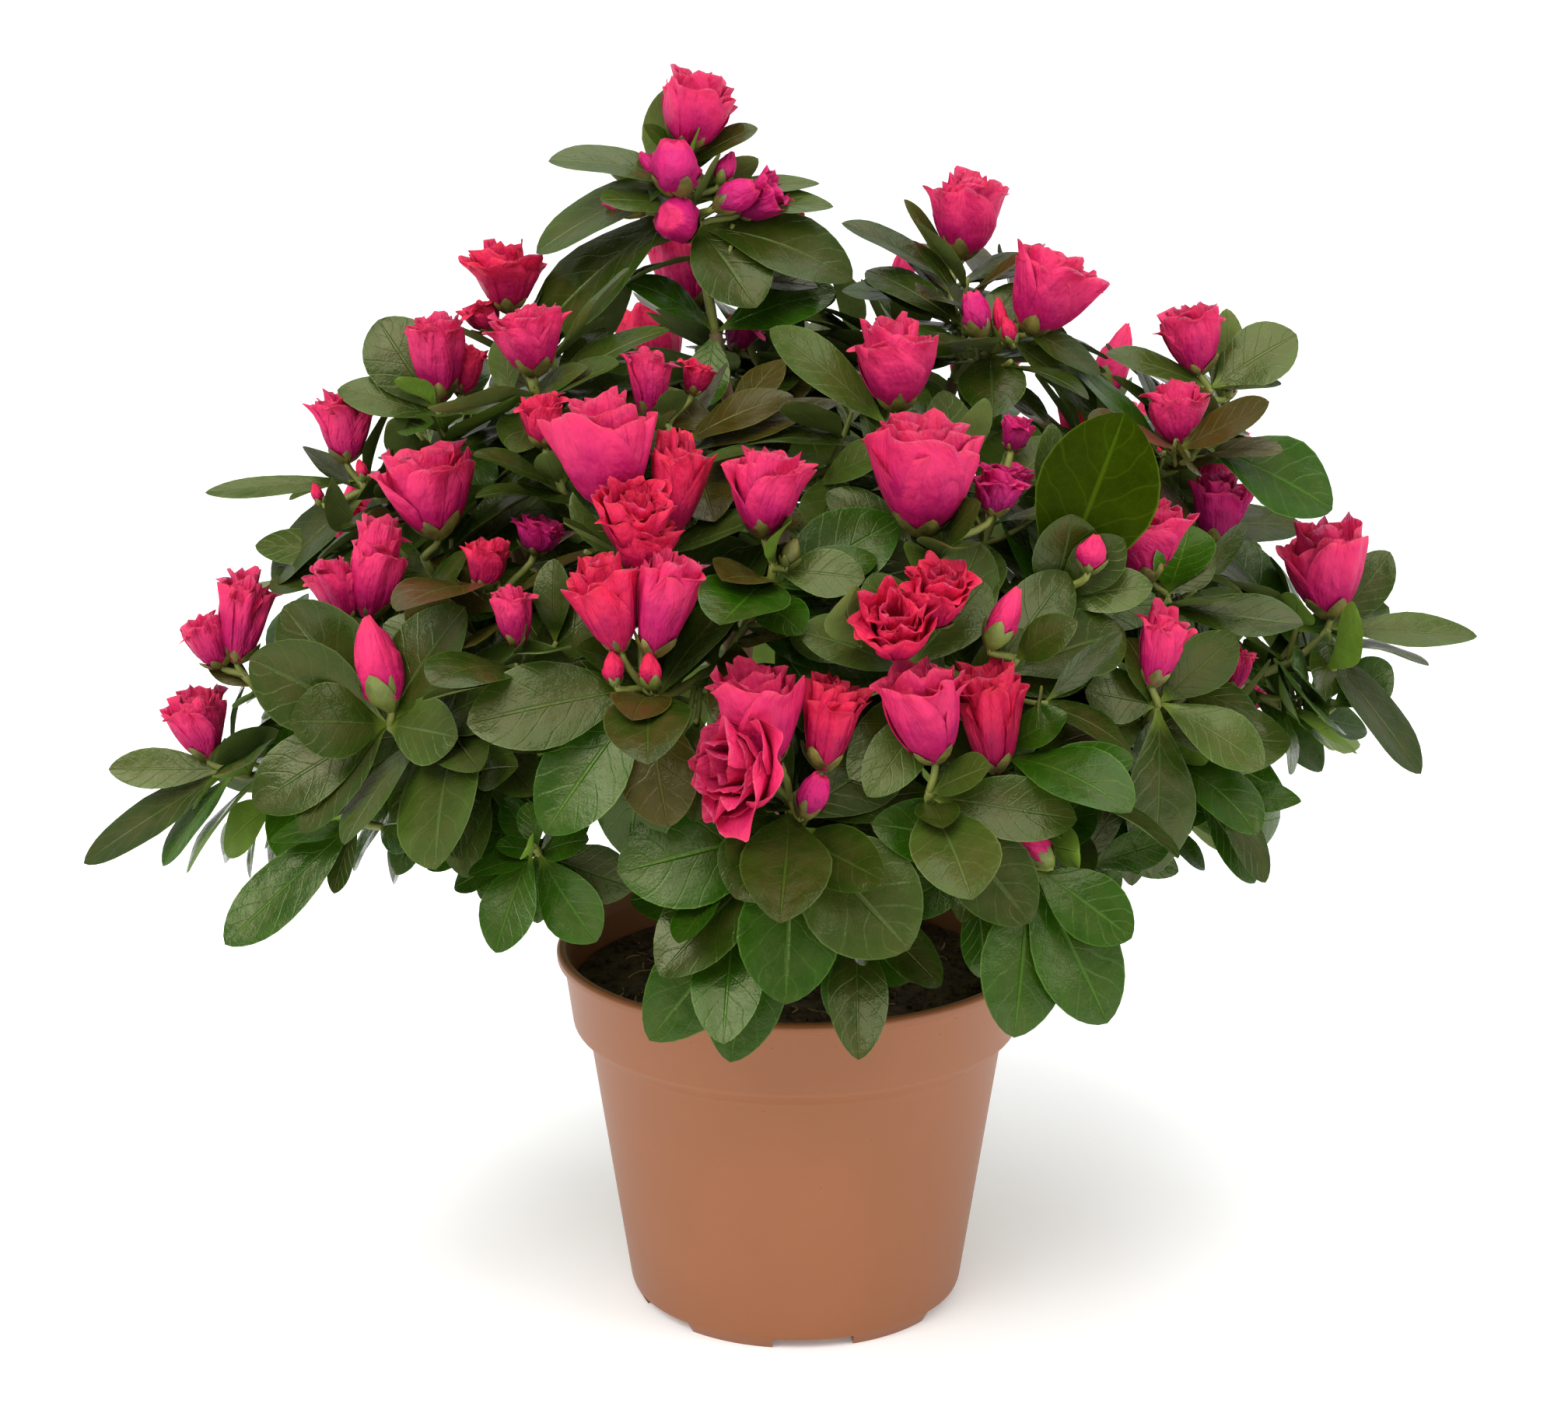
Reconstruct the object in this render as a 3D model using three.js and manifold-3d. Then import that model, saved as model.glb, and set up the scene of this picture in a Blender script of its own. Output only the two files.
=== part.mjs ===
// A flowering azalea in a plastic nursery pot. Millimetres, +Z up, +X to the right and -Y to the viewer.
// The origin is the middle of the pot's underside.

import * as THREE from 'three';
import { mergeVertices } from 'three/addons/utils/BufferGeometryUtils.js';
import Module from 'manifold-3d';

const wasm = await Module();
wasm.setup();
const { Manifold, Mesh: SolidMesh } = wasm;

// Driving sizes

const GAP = 0.3;                 // between pieces that touch
const FINEST = 0.005;            // steps in a fused surface smaller than this are evened out

const POT_HEIGHT = 92;
const LIP_RADIUS = 60;
const BAND_TOP_RADIUS = 58.2;    // the band under the lip
const BAND_FOOT_RADIUS = 56;
const BAND_FOOT_HEIGHT = 72.5;
const BODY_TOP_RADIUS = 51.9;    // where the band turns in to the body
const BODY_TOP_HEIGHT = 68.7;
const BODY_FOOT_RADIUS = 42.1;
const FOOT_RADIUS = 40.3;
const FOOT_EDGE = 3.2;           // height of the turned-in edge at the foot
const LIP_DEPTH = 3.2;
const LIP_ROUND = 0.6;
const POT_WALL = 1.6;
const LIP_WALL = 2.2;
const FLOOR = 4.8;
const POT_SIDES = 40;
const SOIL_SIDES = 20;
const NOTCHES = 6;               // drainage notches round the foot
const NOTCH_WIDTH = 20;
const NOTCH_HEIGHT = 2.8;
const NOTCH_DEPTH = 7;
const NOTCH_TURN = -84;          // degrees from +X to the notch that faces the viewer

const SOIL_TOP = 84;             // where the trunk stands
const SOIL_EDGE = 82;
const SOIL_FLAT = 14;

const TRUNK_BASE_RADIUS = 9.5;
const TRUNK_TOP_RADIUS = 4.6;
const TRUNK_HEIGHT = 40;
const TRUNK_LEAN = new THREE.Vector2(-4, 3);
const TRUNK_SIDES = 12;
const TRUNK_STEPS = 6;
const FLARE_LOBES = 5;
const FLARE_LOBE_SHARE = 0.14;

const BOUGH_ROOT_RADIUS = 3.8;
const BOUGH_TIP_RADIUS = 1.7;
const BOUGH_SHARE = 0.8;         // of its parent's radius, at most
const BOUGH_BEND = 0.36;         // how long a bough keeps its parent's direction
const BOUGH_SIDES = 5;
const BOUGH_STEP = 30;           // length between its rings
const LEAVES_FROM = 0.4;         // shares of a limb between which boughs leave it
const LEAVES_TO = 0.9;
const LEAVES_STEP = 0.05;
const LEAST_RISE = 0.2;
const TRAVEL_COST = 0.55;        // of the way already grown, when a bough picks where it leaves

const CROWN_HEART = new THREE.Vector3(0, 0, 130);   // the shoots grow away from here
const STEM_LENGTH = 36;          // from a bough's tip to its shoots
const STEM_SHARED = 12;          // of that, before the last twig leaves it
const STEM_END_RADIUS = 1.6;
const STEM_SIDES = 5;
const TWIG_STEP = 1.8;           // down the stem from one twig to the next
const TWIG_ROOT_RADIUS = 1.2;
const TWIG_TIP_RADIUS = 1.0;
const TWIG_BENDS = 2;            // straight lengths in a twig
const TWIG_SIDES = 3;
const SHOOT_LEAN = 0.5;          // outward share of a shoot's direction
const SHOOT_SEEDS = 20;          // seeds kept for the shoots of one mass

const LEAF_LENGTH = 41;
const LEAF_WIDTH = 0.5;          // of its length
const LEAF_THICKNESS = 1;
const LEAF_SINK = 0.35;          // how far its root goes past the twig's middle
const LEAF_BODY = 0.1;           // where it is thickest, as a share of its length
const LEAF_BROAD = 0.6;          // where it is widest
const LEAF_CREASE = 0.08;        // how far its edges rise, as a share of its width
const LEAF_CURL = 0.08;          // how far its tip falls, as a share of its length
const LEAF_LEAST = 0.95;         // of its length, for the first leaf of a shoot
const LEAF_GROWTH = 0.03;        // longer at each leaf down the twig
const LEAF_CHANCE = 0.16;
const LEAF_TILT = 72;            // degrees off the shoot, for its first leaf
const LEAF_TILT_STEP = 6;
const LEAF_TILT_CHANCE = 10;
const LEAF_TURN_CHANCE = 50;
const LEAF_CLEAR = 3;            // past here a leaf keeps clear of all but its own twig and bloom
const LEAF_EVERY = 5.7;          // along a twig, from its end down
const FIRST_LEAF = 4;            // below the bloom
const LEAF_TRIES = 6;
const LEAF_LIFT = 11;            // degrees, at each further try
const LEAF_TRIM = 0.09;          // shorter by this share, at each further try
const LEAF_FACING = 0.6;         // how far its face turns outward
const GOLDEN_ANGLE = 137.5;
const DROOP_FROM = 152;          // below this height leaves hang more
const DROOP_RATE = 1.1;          // degrees for each millimetre below it
const MOST_DROOP = 32;

const BLOOM_HEIGHT = 21;
const BLOOM_RADIUS = 10.5;
const BLOOM_THROAT = 14.3;       // height of the hollow's foot
const BLOOM_BASE_RADIUS = 5;
const BLOOM_BASE_HEIGHT = 7;
const BLOOM_SINK = 2;            // below the twig's end
const BUD_HEIGHT = 18;
const BUD_RADIUS = 4.4;
const BUD_BROAD = 8.1;           // height where it is widest
const BLOOM_SIDES = 5;

const COLOURS = {
  pot: 0xa46d4f, soil: 0x211d10, bark: 0x6a4c38, leaf: 0x48572e,
};

// Where the foliage masses sit: turn in degrees round the plant, reach from its axis, height above
// the ground, and how far (spread) and from which angle (spin) its shoots fan out from that place.
// A shoot ends in the bloom that its word names: one, two or three flowers, a bud, or leaves alone.

const FRONT_MASSES = [
  { name: 'leader', turn: 180, reach: 26, height: 285, spread: 0, spin: 0, blooms: ['open'], stem: 52 },
  { name: 'upper_right', turn: -2, reach: 46, height: 257, spread: 16, spin: 33, blooms: ['open', 'open'] },
  { name: 'upper_left', turn: -164, reach: 67, height: 243, spread: 18, spin: -8, blooms: ['open', 'pair'] },
  { name: 'top_front', turn: -96, reach: 45, height: 234, spread: 26, spin: 0, blooms: ['open', 'bud'] },
  { name: 'right_shoulder', turn: -7, reach: 100, height: 228, spread: 11, spin: 40, blooms: ['open', 'open'] },
  { name: 'left_shoulder', turn: -172, reach: 96, height: 222, spread: 14, spin: 74, blooms: ['pair', 'open'] },
  { name: 'centre_left', turn: -124, reach: 82, height: 217, spread: 15, spin: -27, blooms: ['trio', 'open'] },
  { name: 'centre_right', turn: -55, reach: 81, height: 211, spread: 18, spin: 60, blooms: ['open', 'open', 'bud'] },
  { name: 'left', turn: -161, reach: 101, height: 200, spread: 21, spin: 12, blooms: ['open', 'leaves'] },
  { name: 'right', turn: -20, reach: 100, height: 197, spread: 18, spin: 10, blooms: ['open', 'open'] },
  { name: 'centre', turn: -102, reach: 94, height: 197, spread: 20, spin: 51, blooms: ['open', 'pair'] },
  { name: 'centre_low', turn: -69, reach: 102, height: 189, spread: 12, spin: 180, blooms: ['pair', 'bud'] },
  { name: 'left_front', turn: -137, reach: 110, height: 185, spread: 20, spin: 0,
    blooms: ['bud', 'bud', 'pair', 'bud'] },
  { name: 'far_right', turn: -5, reach: 128, height: 168, spread: 13, spin: 100, blooms: ['open', 'leaves'] },
  { name: 'right_front', turn: -32, reach: 109, height: 166, spread: 17, spin: 34,
    blooms: ['open', 'open', 'leaves'] },
  { name: 'front_right', turn: -66, reach: 109, height: 160, spread: 17, spin: 50,
    blooms: ['open', 'open', 'bud'] },
  { name: 'far_left', turn: -173, reach: 137, height: 154, spread: 12, spin: 95, blooms: ['pair', 'open'] },
  { name: 'front', turn: -91, reach: 104, height: 141, spread: 19, spin: 90, blooms: ['trio', 'leaves', 'leaves'] },
  { name: 'low_left', turn: -142, reach: 112, height: 160, spread: 27, spin: 45,
    blooms: ['leaves', 'leaves', 'leaves', 'leaves'] },
  { name: 'low_right', turn: -42, reach: 104, height: 147, spread: 23, spin: 30,
    blooms: ['leaves', 'leaves', 'leaves'] },
];

// The far side is grown in tiers, each with masses at equal steps of turn
const BACK_TIERS = [
  { name: 'back_top', turns: [90], reach: 42, height: 244, spread: 26, shoots: 5 },
  { name: 'back_middle', turns: [25, 68, 112, 155], reach: 98, height: 200, spread: 24, shoots: 4 },
  { name: 'back_low', turns: [35, 85, 135], reach: 120, height: 157, spread: 33, shoots: 6 },
];
const BACK_BLOOMS = ['open', 'pair', 'bud', 'open', 'leaves'];

// Small tools

const UP = new THREE.Vector3(0, 0, 1);
const degrees = THREE.MathUtils.degToRad;

// The same numbers each time for the same seed
function seeded(seed) {
  let state = Math.imul(seed + 1, 0x9e3779b1) >>> 0;
  return () => {
    state = (state + 0x6d2b79f5) >>> 0;
    let mix = Math.imul(state ^ (state >>> 15), 1 | state);
    mix = (mix + Math.imul(mix ^ (mix >>> 7), 61 | mix)) ^ mix;
    return ((mix ^ (mix >>> 14)) >>> 0) / 4294967296;
  };
}

// A closed geometry as a solid: shared corners are joined and faces with no area dropped
function toSolid(geometry) {
  const bare = geometry.clone();
  bare.deleteAttribute('normal');
  bare.deleteAttribute('uv');
  const welded = mergeVertices(bare, 1e-3);
  const corners = welded.index.array;
  const faces = [];
  for (let i = 0; i < corners.length; i += 3) {
    const [a, b, c] = [corners[i], corners[i + 1], corners[i + 2]];
    if (a !== b && b !== c && c !== a) faces.push(a, b, c);
  }
  return new Manifold(new SolidMesh({
    numProp: 3,
    vertProperties: new Float32Array(welded.attributes.position.array),
    triVerts: new Uint32Array(faces),
  }));
}

function toGeometry(solid) {
  const { vertProperties, triVerts } = solid.getMesh();
  const geometry = new THREE.BufferGeometry();
  geometry.setAttribute('position', new THREE.BufferAttribute(vertProperties, 3));
  geometry.setIndex(new THREE.BufferAttribute(triVerts, 1));
  return geometry;
}

// The largest piece of a solid: hollows that were sealed in it are filled and loose scraps dropped,
// again once its closest corners are joined, as that can seal or part what hung by less
function oneBody(solid) {
  const largest = (whole) => whole.decompose().sort((a, b) => b.volume() - a.volume())[0];
  return largest(toSolid(toGeometry(largest(solid).simplify(FINEST)))).simplify(FINEST);
}

// A round bar bent along a curve. Its radius depends on the share of its length and on the angle,
// and its first corner lies towards the direction across.
function bentBar(curve, radiusAt, sides, steps, across = new THREE.Vector3(1, 0, 0)) {
  const bar = new THREE.CylinderGeometry(1, 1, 1, sides, steps);
  const rings = [];
  for (let i = 0; i <= steps; i++) {
    const along = curve.getTangent(i / steps);
    across = across.clone().addScaledVector(along, -across.dot(along)).normalize();
    const beside = across.clone().cross(along);
    rings.push({ at: curve.getPoint(i / steps), across, beside });
  }
  const place = bar.attributes.position;
  for (let i = 0; i < place.count; i++) {
    const share = place.getY(i) + 0.5;
    const ring = rings[Math.round(share * steps)];
    const [x, z] = [place.getX(i), place.getZ(i)];
    const radius = radiusAt(share, Math.atan2(z, x));
    const corner = ring.at.clone().addScaledVector(ring.across, x * radius)
      .addScaledVector(ring.beside, z * radius);
    place.setXYZ(i, corner.x, corner.y, corner.z);
  }
  return bar;
}

const taper = (from, to) => (share) => from + (to - from) * share;

// A smooth curve that leaves one place in one direction and arrives at another in another
function swing(from, leave, to, arrive, bend) {
  const pull = from.distanceTo(to) * bend;
  return new THREE.CubicBezierCurve3(
    from, from.clone().addScaledVector(leave, pull), to.clone().addScaledVector(arrive, -pull), to,
  );
}

// A direction tilted off an axis, towards a turn round it
function tilted(axis, tilt, turn) {
  const side = new THREE.Vector3(-axis.y, axis.x, 0);
  if (side.lengthSq() < 1e-4) side.set(0, 1, 0);
  side.normalize().applyAxisAngle(axis, degrees(turn));
  return axis.clone().multiplyScalar(Math.cos(degrees(tilt)))
    .addScaledVector(side, Math.sin(degrees(tilt)));
}

const group = new THREE.Group();

function addMesh(name, geometry, color, roughness) {
  const mesh = new THREE.Mesh(geometry, new THREE.MeshStandardMaterial({ color, roughness, metalness: 0 }));
  mesh.name = name;
  group.add(mesh);
}

// Pot: a turned shell with a lip, a band, a tapering body and a flat floor

function lathe(profile, sides) {
  const geometry = new THREE.LatheGeometry(profile.map(([r, z]) => new THREE.Vector2(r, z)), sides);
  return geometry.rotateX(Math.PI / 2);
}

const lipUnder = POT_HEIGHT - LIP_DEPTH;
const bodySlope = (BODY_TOP_RADIUS - BODY_FOOT_RADIUS) / (BODY_TOP_HEIGHT - FOOT_EDGE);
const innerFloorRadius = BODY_FOOT_RADIUS + (FLOOR - FOOT_EDGE) * bodySlope - POT_WALL;

function buildPot() {
  const profile = [
    [0, 0], [FOOT_RADIUS, 0], [BODY_FOOT_RADIUS, FOOT_EDGE], [BODY_TOP_RADIUS, BODY_TOP_HEIGHT],
    [BAND_FOOT_RADIUS, BAND_FOOT_HEIGHT], [BAND_TOP_RADIUS, lipUnder],
    [LIP_RADIUS, lipUnder + LIP_ROUND], [LIP_RADIUS, POT_HEIGHT - LIP_ROUND],
    [LIP_RADIUS - LIP_ROUND, POT_HEIGHT], [LIP_RADIUS - LIP_WALL, POT_HEIGHT],
    [BAND_TOP_RADIUS - POT_WALL, lipUnder], [BAND_FOOT_RADIUS - POT_WALL, BAND_FOOT_HEIGHT],
    [BODY_TOP_RADIUS - POT_WALL, BODY_TOP_HEIGHT], [innerFloorRadius, FLOOR], [0, FLOOR],
  ];
  let pot = toSolid(lathe(profile, POT_SIDES));
  for (let i = 0; i < NOTCHES; i++) {
    const notch = new THREE.BoxGeometry(2 * NOTCH_DEPTH, NOTCH_WIDTH, 2 * NOTCH_HEIGHT);
    notch.translate(BODY_FOOT_RADIUS, 0, 0);
    notch.rotateZ(degrees(NOTCH_TURN + i * 360 / NOTCHES));
    pot = pot.subtract(toSolid(notch));
  }
  return pot;
}

const pot = buildPot();
addMesh('pot', toGeometry(pot), COLOURS.pot, 0.5);

// Potting soil: fills the pot to a little under its lip and rises slightly to the trunk

function buildSoil() {
  const inside = POT_WALL + GAP;
  const edgeShare = (SOIL_EDGE - BAND_FOOT_HEIGHT) / (lipUnder - BAND_FOOT_HEIGHT);
  const edgeRadius = BAND_FOOT_RADIUS + (BAND_TOP_RADIUS - BAND_FOOT_RADIUS) * edgeShare;
  return toSolid(lathe([
    [0, FLOOR + GAP], [innerFloorRadius - GAP, FLOOR + GAP],
    [BODY_TOP_RADIUS - inside, BODY_TOP_HEIGHT + GAP], [BAND_FOOT_RADIUS - inside, BAND_FOOT_HEIGHT + GAP],
    [edgeRadius - inside, SOIL_EDGE], [SOIL_FLAT, SOIL_TOP], [0, SOIL_TOP],
  ], SOIL_SIDES));
}

const soil = buildSoil();
addMesh('potting_soil', toGeometry(soil), COLOURS.soil, 1);

// Trunk: a short leaning stem with a root flare, cut flat at the soil

function buildTrunk() {
  const foot = new THREE.Vector3(0, 0, SOIL_TOP + GAP);
  const top = new THREE.Vector3(TRUNK_LEAN.x, TRUNK_LEAN.y, foot.z + TRUNK_HEIGHT);
  const curve = swing(foot, UP, top, top.clone().sub(foot).normalize(), BOUGH_BEND);
  const radius = (share, angle = 0) => {
    const flare = (1 - share) ** 3;
    const lobe = 1 + FLARE_LOBE_SHARE * flare * Math.cos(FLARE_LOBES * angle);
    return (TRUNK_TOP_RADIUS + (TRUNK_BASE_RADIUS - TRUNK_TOP_RADIUS) * flare) * lobe;
  };
  return { name: 'trunk', curve, radius, travel: 0, sides: TRUNK_SIDES, steps: TRUNK_STEPS };
}

const limbSolid = ({ curve, radius, sides, steps }, grow = 0) => toSolid(
  bentBar(curve, (share, angle) => radius(share, angle) + grow, sides, steps),
);

const trunk = buildTrunk();
addMesh('trunk', toGeometry(limbSolid(trunk)), COLOURS.bark, 0.9);

// Masses and their shoots, from the tables above

function placeAt(turn, reach, height) {
  return new THREE.Vector3(reach * Math.cos(degrees(turn)), reach * Math.sin(degrees(turn)), height);
}

function outward(place) {
  return place.clone().sub(CROWN_HEART).normalize();
}

// Shoots fan out on the crown's rounded face: up to four in a ring, and more with one in the middle
function fanOut(mass, index) {
  const centre = placeAt(mass.turn, mass.reach, mass.height);
  const out = outward(centre);
  const level = new THREE.Vector3(-Math.sin(degrees(mass.turn)), Math.cos(degrees(mass.turn)), 0);
  const upslope = out.clone().cross(level);
  const radius = centre.distanceTo(CROWN_HEART);
  const inMiddle = mass.blooms.length > 4 ? 1 : 0;
  const inRing = mass.blooms.length - inMiddle;
  const shoots = mass.blooms.map((bloom, i) => {
    const angle = degrees(mass.spin + (i * 360) / inRing);
    const spread = i < inRing ? mass.spread : 0;
    const place = centre.clone().addScaledVector(level, spread * Math.cos(angle))
      .addScaledVector(upslope, spread * Math.sin(angle));
    const tip = CROWN_HEART.clone().addScaledVector(outward(place), radius);
    const lean = outward(tip).multiplyScalar(SHOOT_LEAN).addScaledVector(UP, 1 - SHOOT_LEAN).normalize();
    return { bloom, tip, lean, out: outward(tip), random: seeded(index * SHOOT_SEEDS + i) };
  });
  const stem = mass.stem ?? STEM_LENGTH;
  const base = centre.clone().addScaledVector(out, -stem);
  return { name: mass.name, base, out, shoots };
}

const backMasses = BACK_TIERS.flatMap((tier, row) => tier.turns.map((turn, i) => ({
  ...tier,
  name: tier.turns.length > 1 ? `${tier.name}_${i + 1}` : tier.name,
  turn,
  spin: 40 * i,
  blooms: Array.from({ length: tier.shoots }, (_, k) => BACK_BLOOMS[(k + i + row) % BACK_BLOOMS.length]),
})));

const masses = [...FRONT_MASSES, ...backMasses]
  .sort((a, b) => a.height - b.height)
  .map(fanOut);

// Boughs: from low to high, each leaves the limb that makes its way from the trunk shortest

const limbs = [trunk];

function growBough(mass) {
  let best = { cost: Infinity };
  for (const limb of limbs) {
    for (let share = LEAVES_FROM; share < LEAVES_TO + LEAVES_STEP / 2; share += LEAVES_STEP) {
      const from = limb.curve.getPoint(share);
      const way = mass.base.clone().sub(from);
      const length = way.length();
      way.normalize();
      const along = limb.curve.getTangent(share);
      const travel = limb.travel + limb.curve.getLength() * share;
      const cost = length + travel * TRAVEL_COST;
      if (way.z > LEAST_RISE && way.dot(along) > LEAST_RISE && cost < best.cost) {
        best = { cost, limb, share, from, way, along, travel };
      }
    }
  }
  const { limb, share, from, way, along, travel } = best;
  const leave = way.clone().add(along).normalize();
  const curve = swing(from, leave, mass.base, mass.out, BOUGH_BEND);
  const root = Math.min(BOUGH_ROOT_RADIUS, limb.radius(share) * BOUGH_SHARE);
  return {
    name: mass.name, curve, radius: taper(root, BOUGH_TIP_RADIUS), travel, sides: BOUGH_SIDES,
    steps: Math.max(2, Math.round(curve.getLength() / BOUGH_STEP)),
  };
}

// What has been placed so far and what it belongs to, for keeping others clear of it
const placed = [];

function remember(solid, owner = {}) {
  placed.push({ ...owner, solid, box: solid.boundingBox() });
}

function touches(solid, isOwn) {
  const { min, max } = solid.boundingBox();
  return placed.some((other) => {
    if (isOwn(other)) return false;
    for (let axis = 0; axis < 3; axis++) {
      if (other.box.min[axis] > max[axis] || other.box.max[axis] < min[axis]) return false;
    }
    const shared = other.solid.intersect(solid);
    const meets = !shared.isEmpty();
    shared.delete();
    return meets;
  });
}

remember(pot);
remember(soil);
remember(limbSolid(trunk));

for (const mass of masses) {
  const bough = growBough(mass);
  let solid = limbSolid(bough);
  for (const limb of limbs) solid = solid.subtract(limbSolid(limb, GAP));
  solid = oneBody(solid);
  limbs.push(bough);
  mass.heading = bough.curve.getTangent(1);
  remember(solid);
  addMesh(`bough_${bough.name}`, toGeometry(solid), COLOURS.bark, 0.9);
}

// Twigs: a short stem meets the bough's tip and branches to each shoot

for (const mass of masses) {
  const onStem = (ahead) => mass.base.clone().addScaledVector(mass.heading, ahead);
  const stem = new THREE.LineCurve3(onStem(GAP), onStem(STEM_SHARED));
  mass.pieces = [toSolid(bentBar(stem, taper(BOUGH_TIP_RADIUS, STEM_END_RADIUS), STEM_SIDES, 1))];
  remember(mass.pieces[0], { mass });
  mass.shoots.forEach((shoot, i) => {
    const root = onStem(STEM_SHARED - TWIG_STEP * (i + 1));
    shoot.curve = swing(root, mass.heading, shoot.tip, shoot.lean, BOUGH_BEND);
    const corner = tilted(mass.heading, 90, 360 * shoot.random());
    const twig = (grow) => toSolid(bentBar(
      shoot.curve, taper(TWIG_ROOT_RADIUS + grow, TWIG_TIP_RADIUS + grow), TWIG_SIDES, TWIG_BENDS, corner,
    ));
    shoot.grown = !touches(twig(GAP), (other) => other.mass === mass);
    if (shoot.grown) {
      mass.pieces.push(twig(0));
      remember(twig(0), { mass, shoot, isTwig: true });
    }
  });
}

// Blooms: flared cups and pointed buds at the shoots' ends

const OUTWARD_TURN = -90;        // as tilted() counts it, away from the crown's heart

const BLOOM_SHAPES = {
  open: [{ profile: 'cup', tilt: 0 }],
  pair: [{ profile: 'cup', tilt: 24, turn: 0 }, { profile: 'cup', tilt: 24, turn: 180 }],
  trio: [0, 120, 240].map((turn) => ({ profile: 'cup', tilt: 32, turn })),
  bud: [{ profile: 'bud', tilt: 0 }],
  leaves: [],
};

const PROFILES = {
  cup: [
    [0, -BLOOM_SINK], [BLOOM_BASE_RADIUS, BLOOM_BASE_HEIGHT], [BLOOM_RADIUS, BLOOM_HEIGHT], [0, BLOOM_THROAT],
  ],
  bud: [[0, -BLOOM_SINK], [BUD_RADIUS, BUD_BROAD], [0, BUD_HEIGHT]],
};

for (const mass of masses) {
  for (const shoot of mass.shoots.filter((each) => each.grown)) {
    shoot.turn = OUTWARD_TURN + LEAF_TURN_CHANCE * (shoot.random() - 0.5);
    for (const { profile, tilt, turn = 0 } of BLOOM_SHAPES[shoot.bloom]) {
      const axis = tilted(shoot.lean, tilt, shoot.turn + turn);
      const bloom = lathe(PROFILES[profile], BLOOM_SIDES);
      bloom.applyQuaternion(new THREE.Quaternion().setFromUnitVectors(UP, axis));
      bloom.translate(...shoot.tip.toArray());
      const solid = toSolid(bloom);
      if (touches(solid, (other) => other.shoot === shoot)) continue;
      mass.pieces.push(solid);
      remember(solid, { mass, shoot });
    }
  }
}

// Leaves: eight-faced blades, widest past the middle and creased along the midrib

function leafSolid({ root, along, face, length, width, thickness, sink = LEAF_SINK }) {
  const side = face.clone().cross(along);
  const crease = width * LEAF_CREASE;
  const corner = (ahead, beside, above) => root.clone().addScaledVector(along, ahead)
    .addScaledVector(side, beside).addScaledVector(face, above);
  const corners = {
    '-1,0,0': corner(-sink, 0, 0), '1,0,0': corner(length, 0, -length * LEAF_CURL),
    '0,-1,0': corner(length * LEAF_BROAD, -width / 2, crease),
    '0,1,0': corner(length * LEAF_BROAD, width / 2, crease),
    '0,0,-1': corner(length * LEAF_BODY, 0, -thickness / 2),
    '0,0,1': corner(length * LEAF_BODY, 0, thickness / 2),
  };
  const blade = new THREE.OctahedronGeometry(1);
  const place = blade.attributes.position;
  for (let i = 0; i < place.count; i++) {
    const key = [place.getX(i), place.getY(i), place.getZ(i)].map((v) => Math.round(v) + 0).join();
    const at = corners[key];
    place.setXYZ(i, at.x, at.y, at.z);
  }
  return toSolid(blade);
}

// One leaf of a shoot, at golden angles round it. The first points outward, and low ones hang.
function leafPlan(shoot, i) {
  const droop = THREE.MathUtils.clamp((DROOP_FROM - shoot.tip.z) * DROOP_RATE, 0, MOST_DROOP);
  const tilt = LEAF_TILT + LEAF_TILT_STEP * i + LEAF_TILT_CHANCE * (shoot.random() - 0.5) + droop;
  const length = LEAF_LENGTH * (LEAF_LEAST + LEAF_GROWTH * i + LEAF_CHANCE * shoot.random());
  return { tilt, length, turn: shoot.turn + i * GOLDEN_ANGLE };
}

// A place down a twig's middle line, which is straight between its bends
function downTwig(curve, distance) {
  const at = (1 - distance / curve.getLength()) * TWIG_BENDS;
  const bend = Math.floor(at);
  return curve.getPoint(bend / TWIG_BENDS).lerp(curve.getPoint((bend + 1) / TWIG_BENDS), at - bend);
}

// A leaf that would touch another, a bloom or a limb is lifted and shortened, and left out at last
function growLeaf(mass, shoot, i) {
  const plan = leafPlan(shoot, i);
  const root = downTwig(shoot.curve, FIRST_LEAF + i * LEAF_EVERY);
  for (let attempt = 0; attempt < LEAF_TRIES; attempt++) {
    const along = tilted(shoot.lean, plan.tilt - LEAF_LIFT * attempt, plan.turn);
    const light = shoot.lean.clone().addScaledVector(shoot.out, LEAF_FACING);
    const face = light.addScaledVector(along, -light.dot(along)).normalize();
    const length = plan.length * (1 - LEAF_TRIM * attempt);
    const blade = { root, along, face, length, width: length * LEAF_WIDTH, thickness: LEAF_THICKNESS };
    const roomy = { ...blade, width: blade.width + GAP, thickness: LEAF_THICKNESS + 2 * GAP };
    if (touches(leafSolid(roomy), (other) => other.mass === mass)) continue;
    const past = leafSolid({ ...roomy, sink: -LEAF_CLEAR });
    if (touches(past, (other) => other.isTwig && other.shoot === shoot)) continue;
    const solid = leafSolid(blade);
    mass.pieces.push(solid);
    remember(solid, { mass, shoot });
    return;
  }
}

const upward = masses.flatMap((mass) => mass.shoots.map((shoot) => ({ mass, shoot })))
  .filter(({ shoot }) => shoot.grown)
  .sort((a, b) => a.shoot.tip.z - b.shoot.tip.z);
const leafCount = (shoot) => Math.floor((shoot.curve.getLength() - FIRST_LEAF) / LEAF_EVERY);
const mostLeaves = Math.max(...upward.map(({ shoot }) => leafCount(shoot)));
for (let i = 0; i < mostLeaves; i++) {
  for (const { mass, shoot } of upward) {
    if (i < leafCount(shoot)) growLeaf(mass, shoot, i);
  }
}

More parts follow.
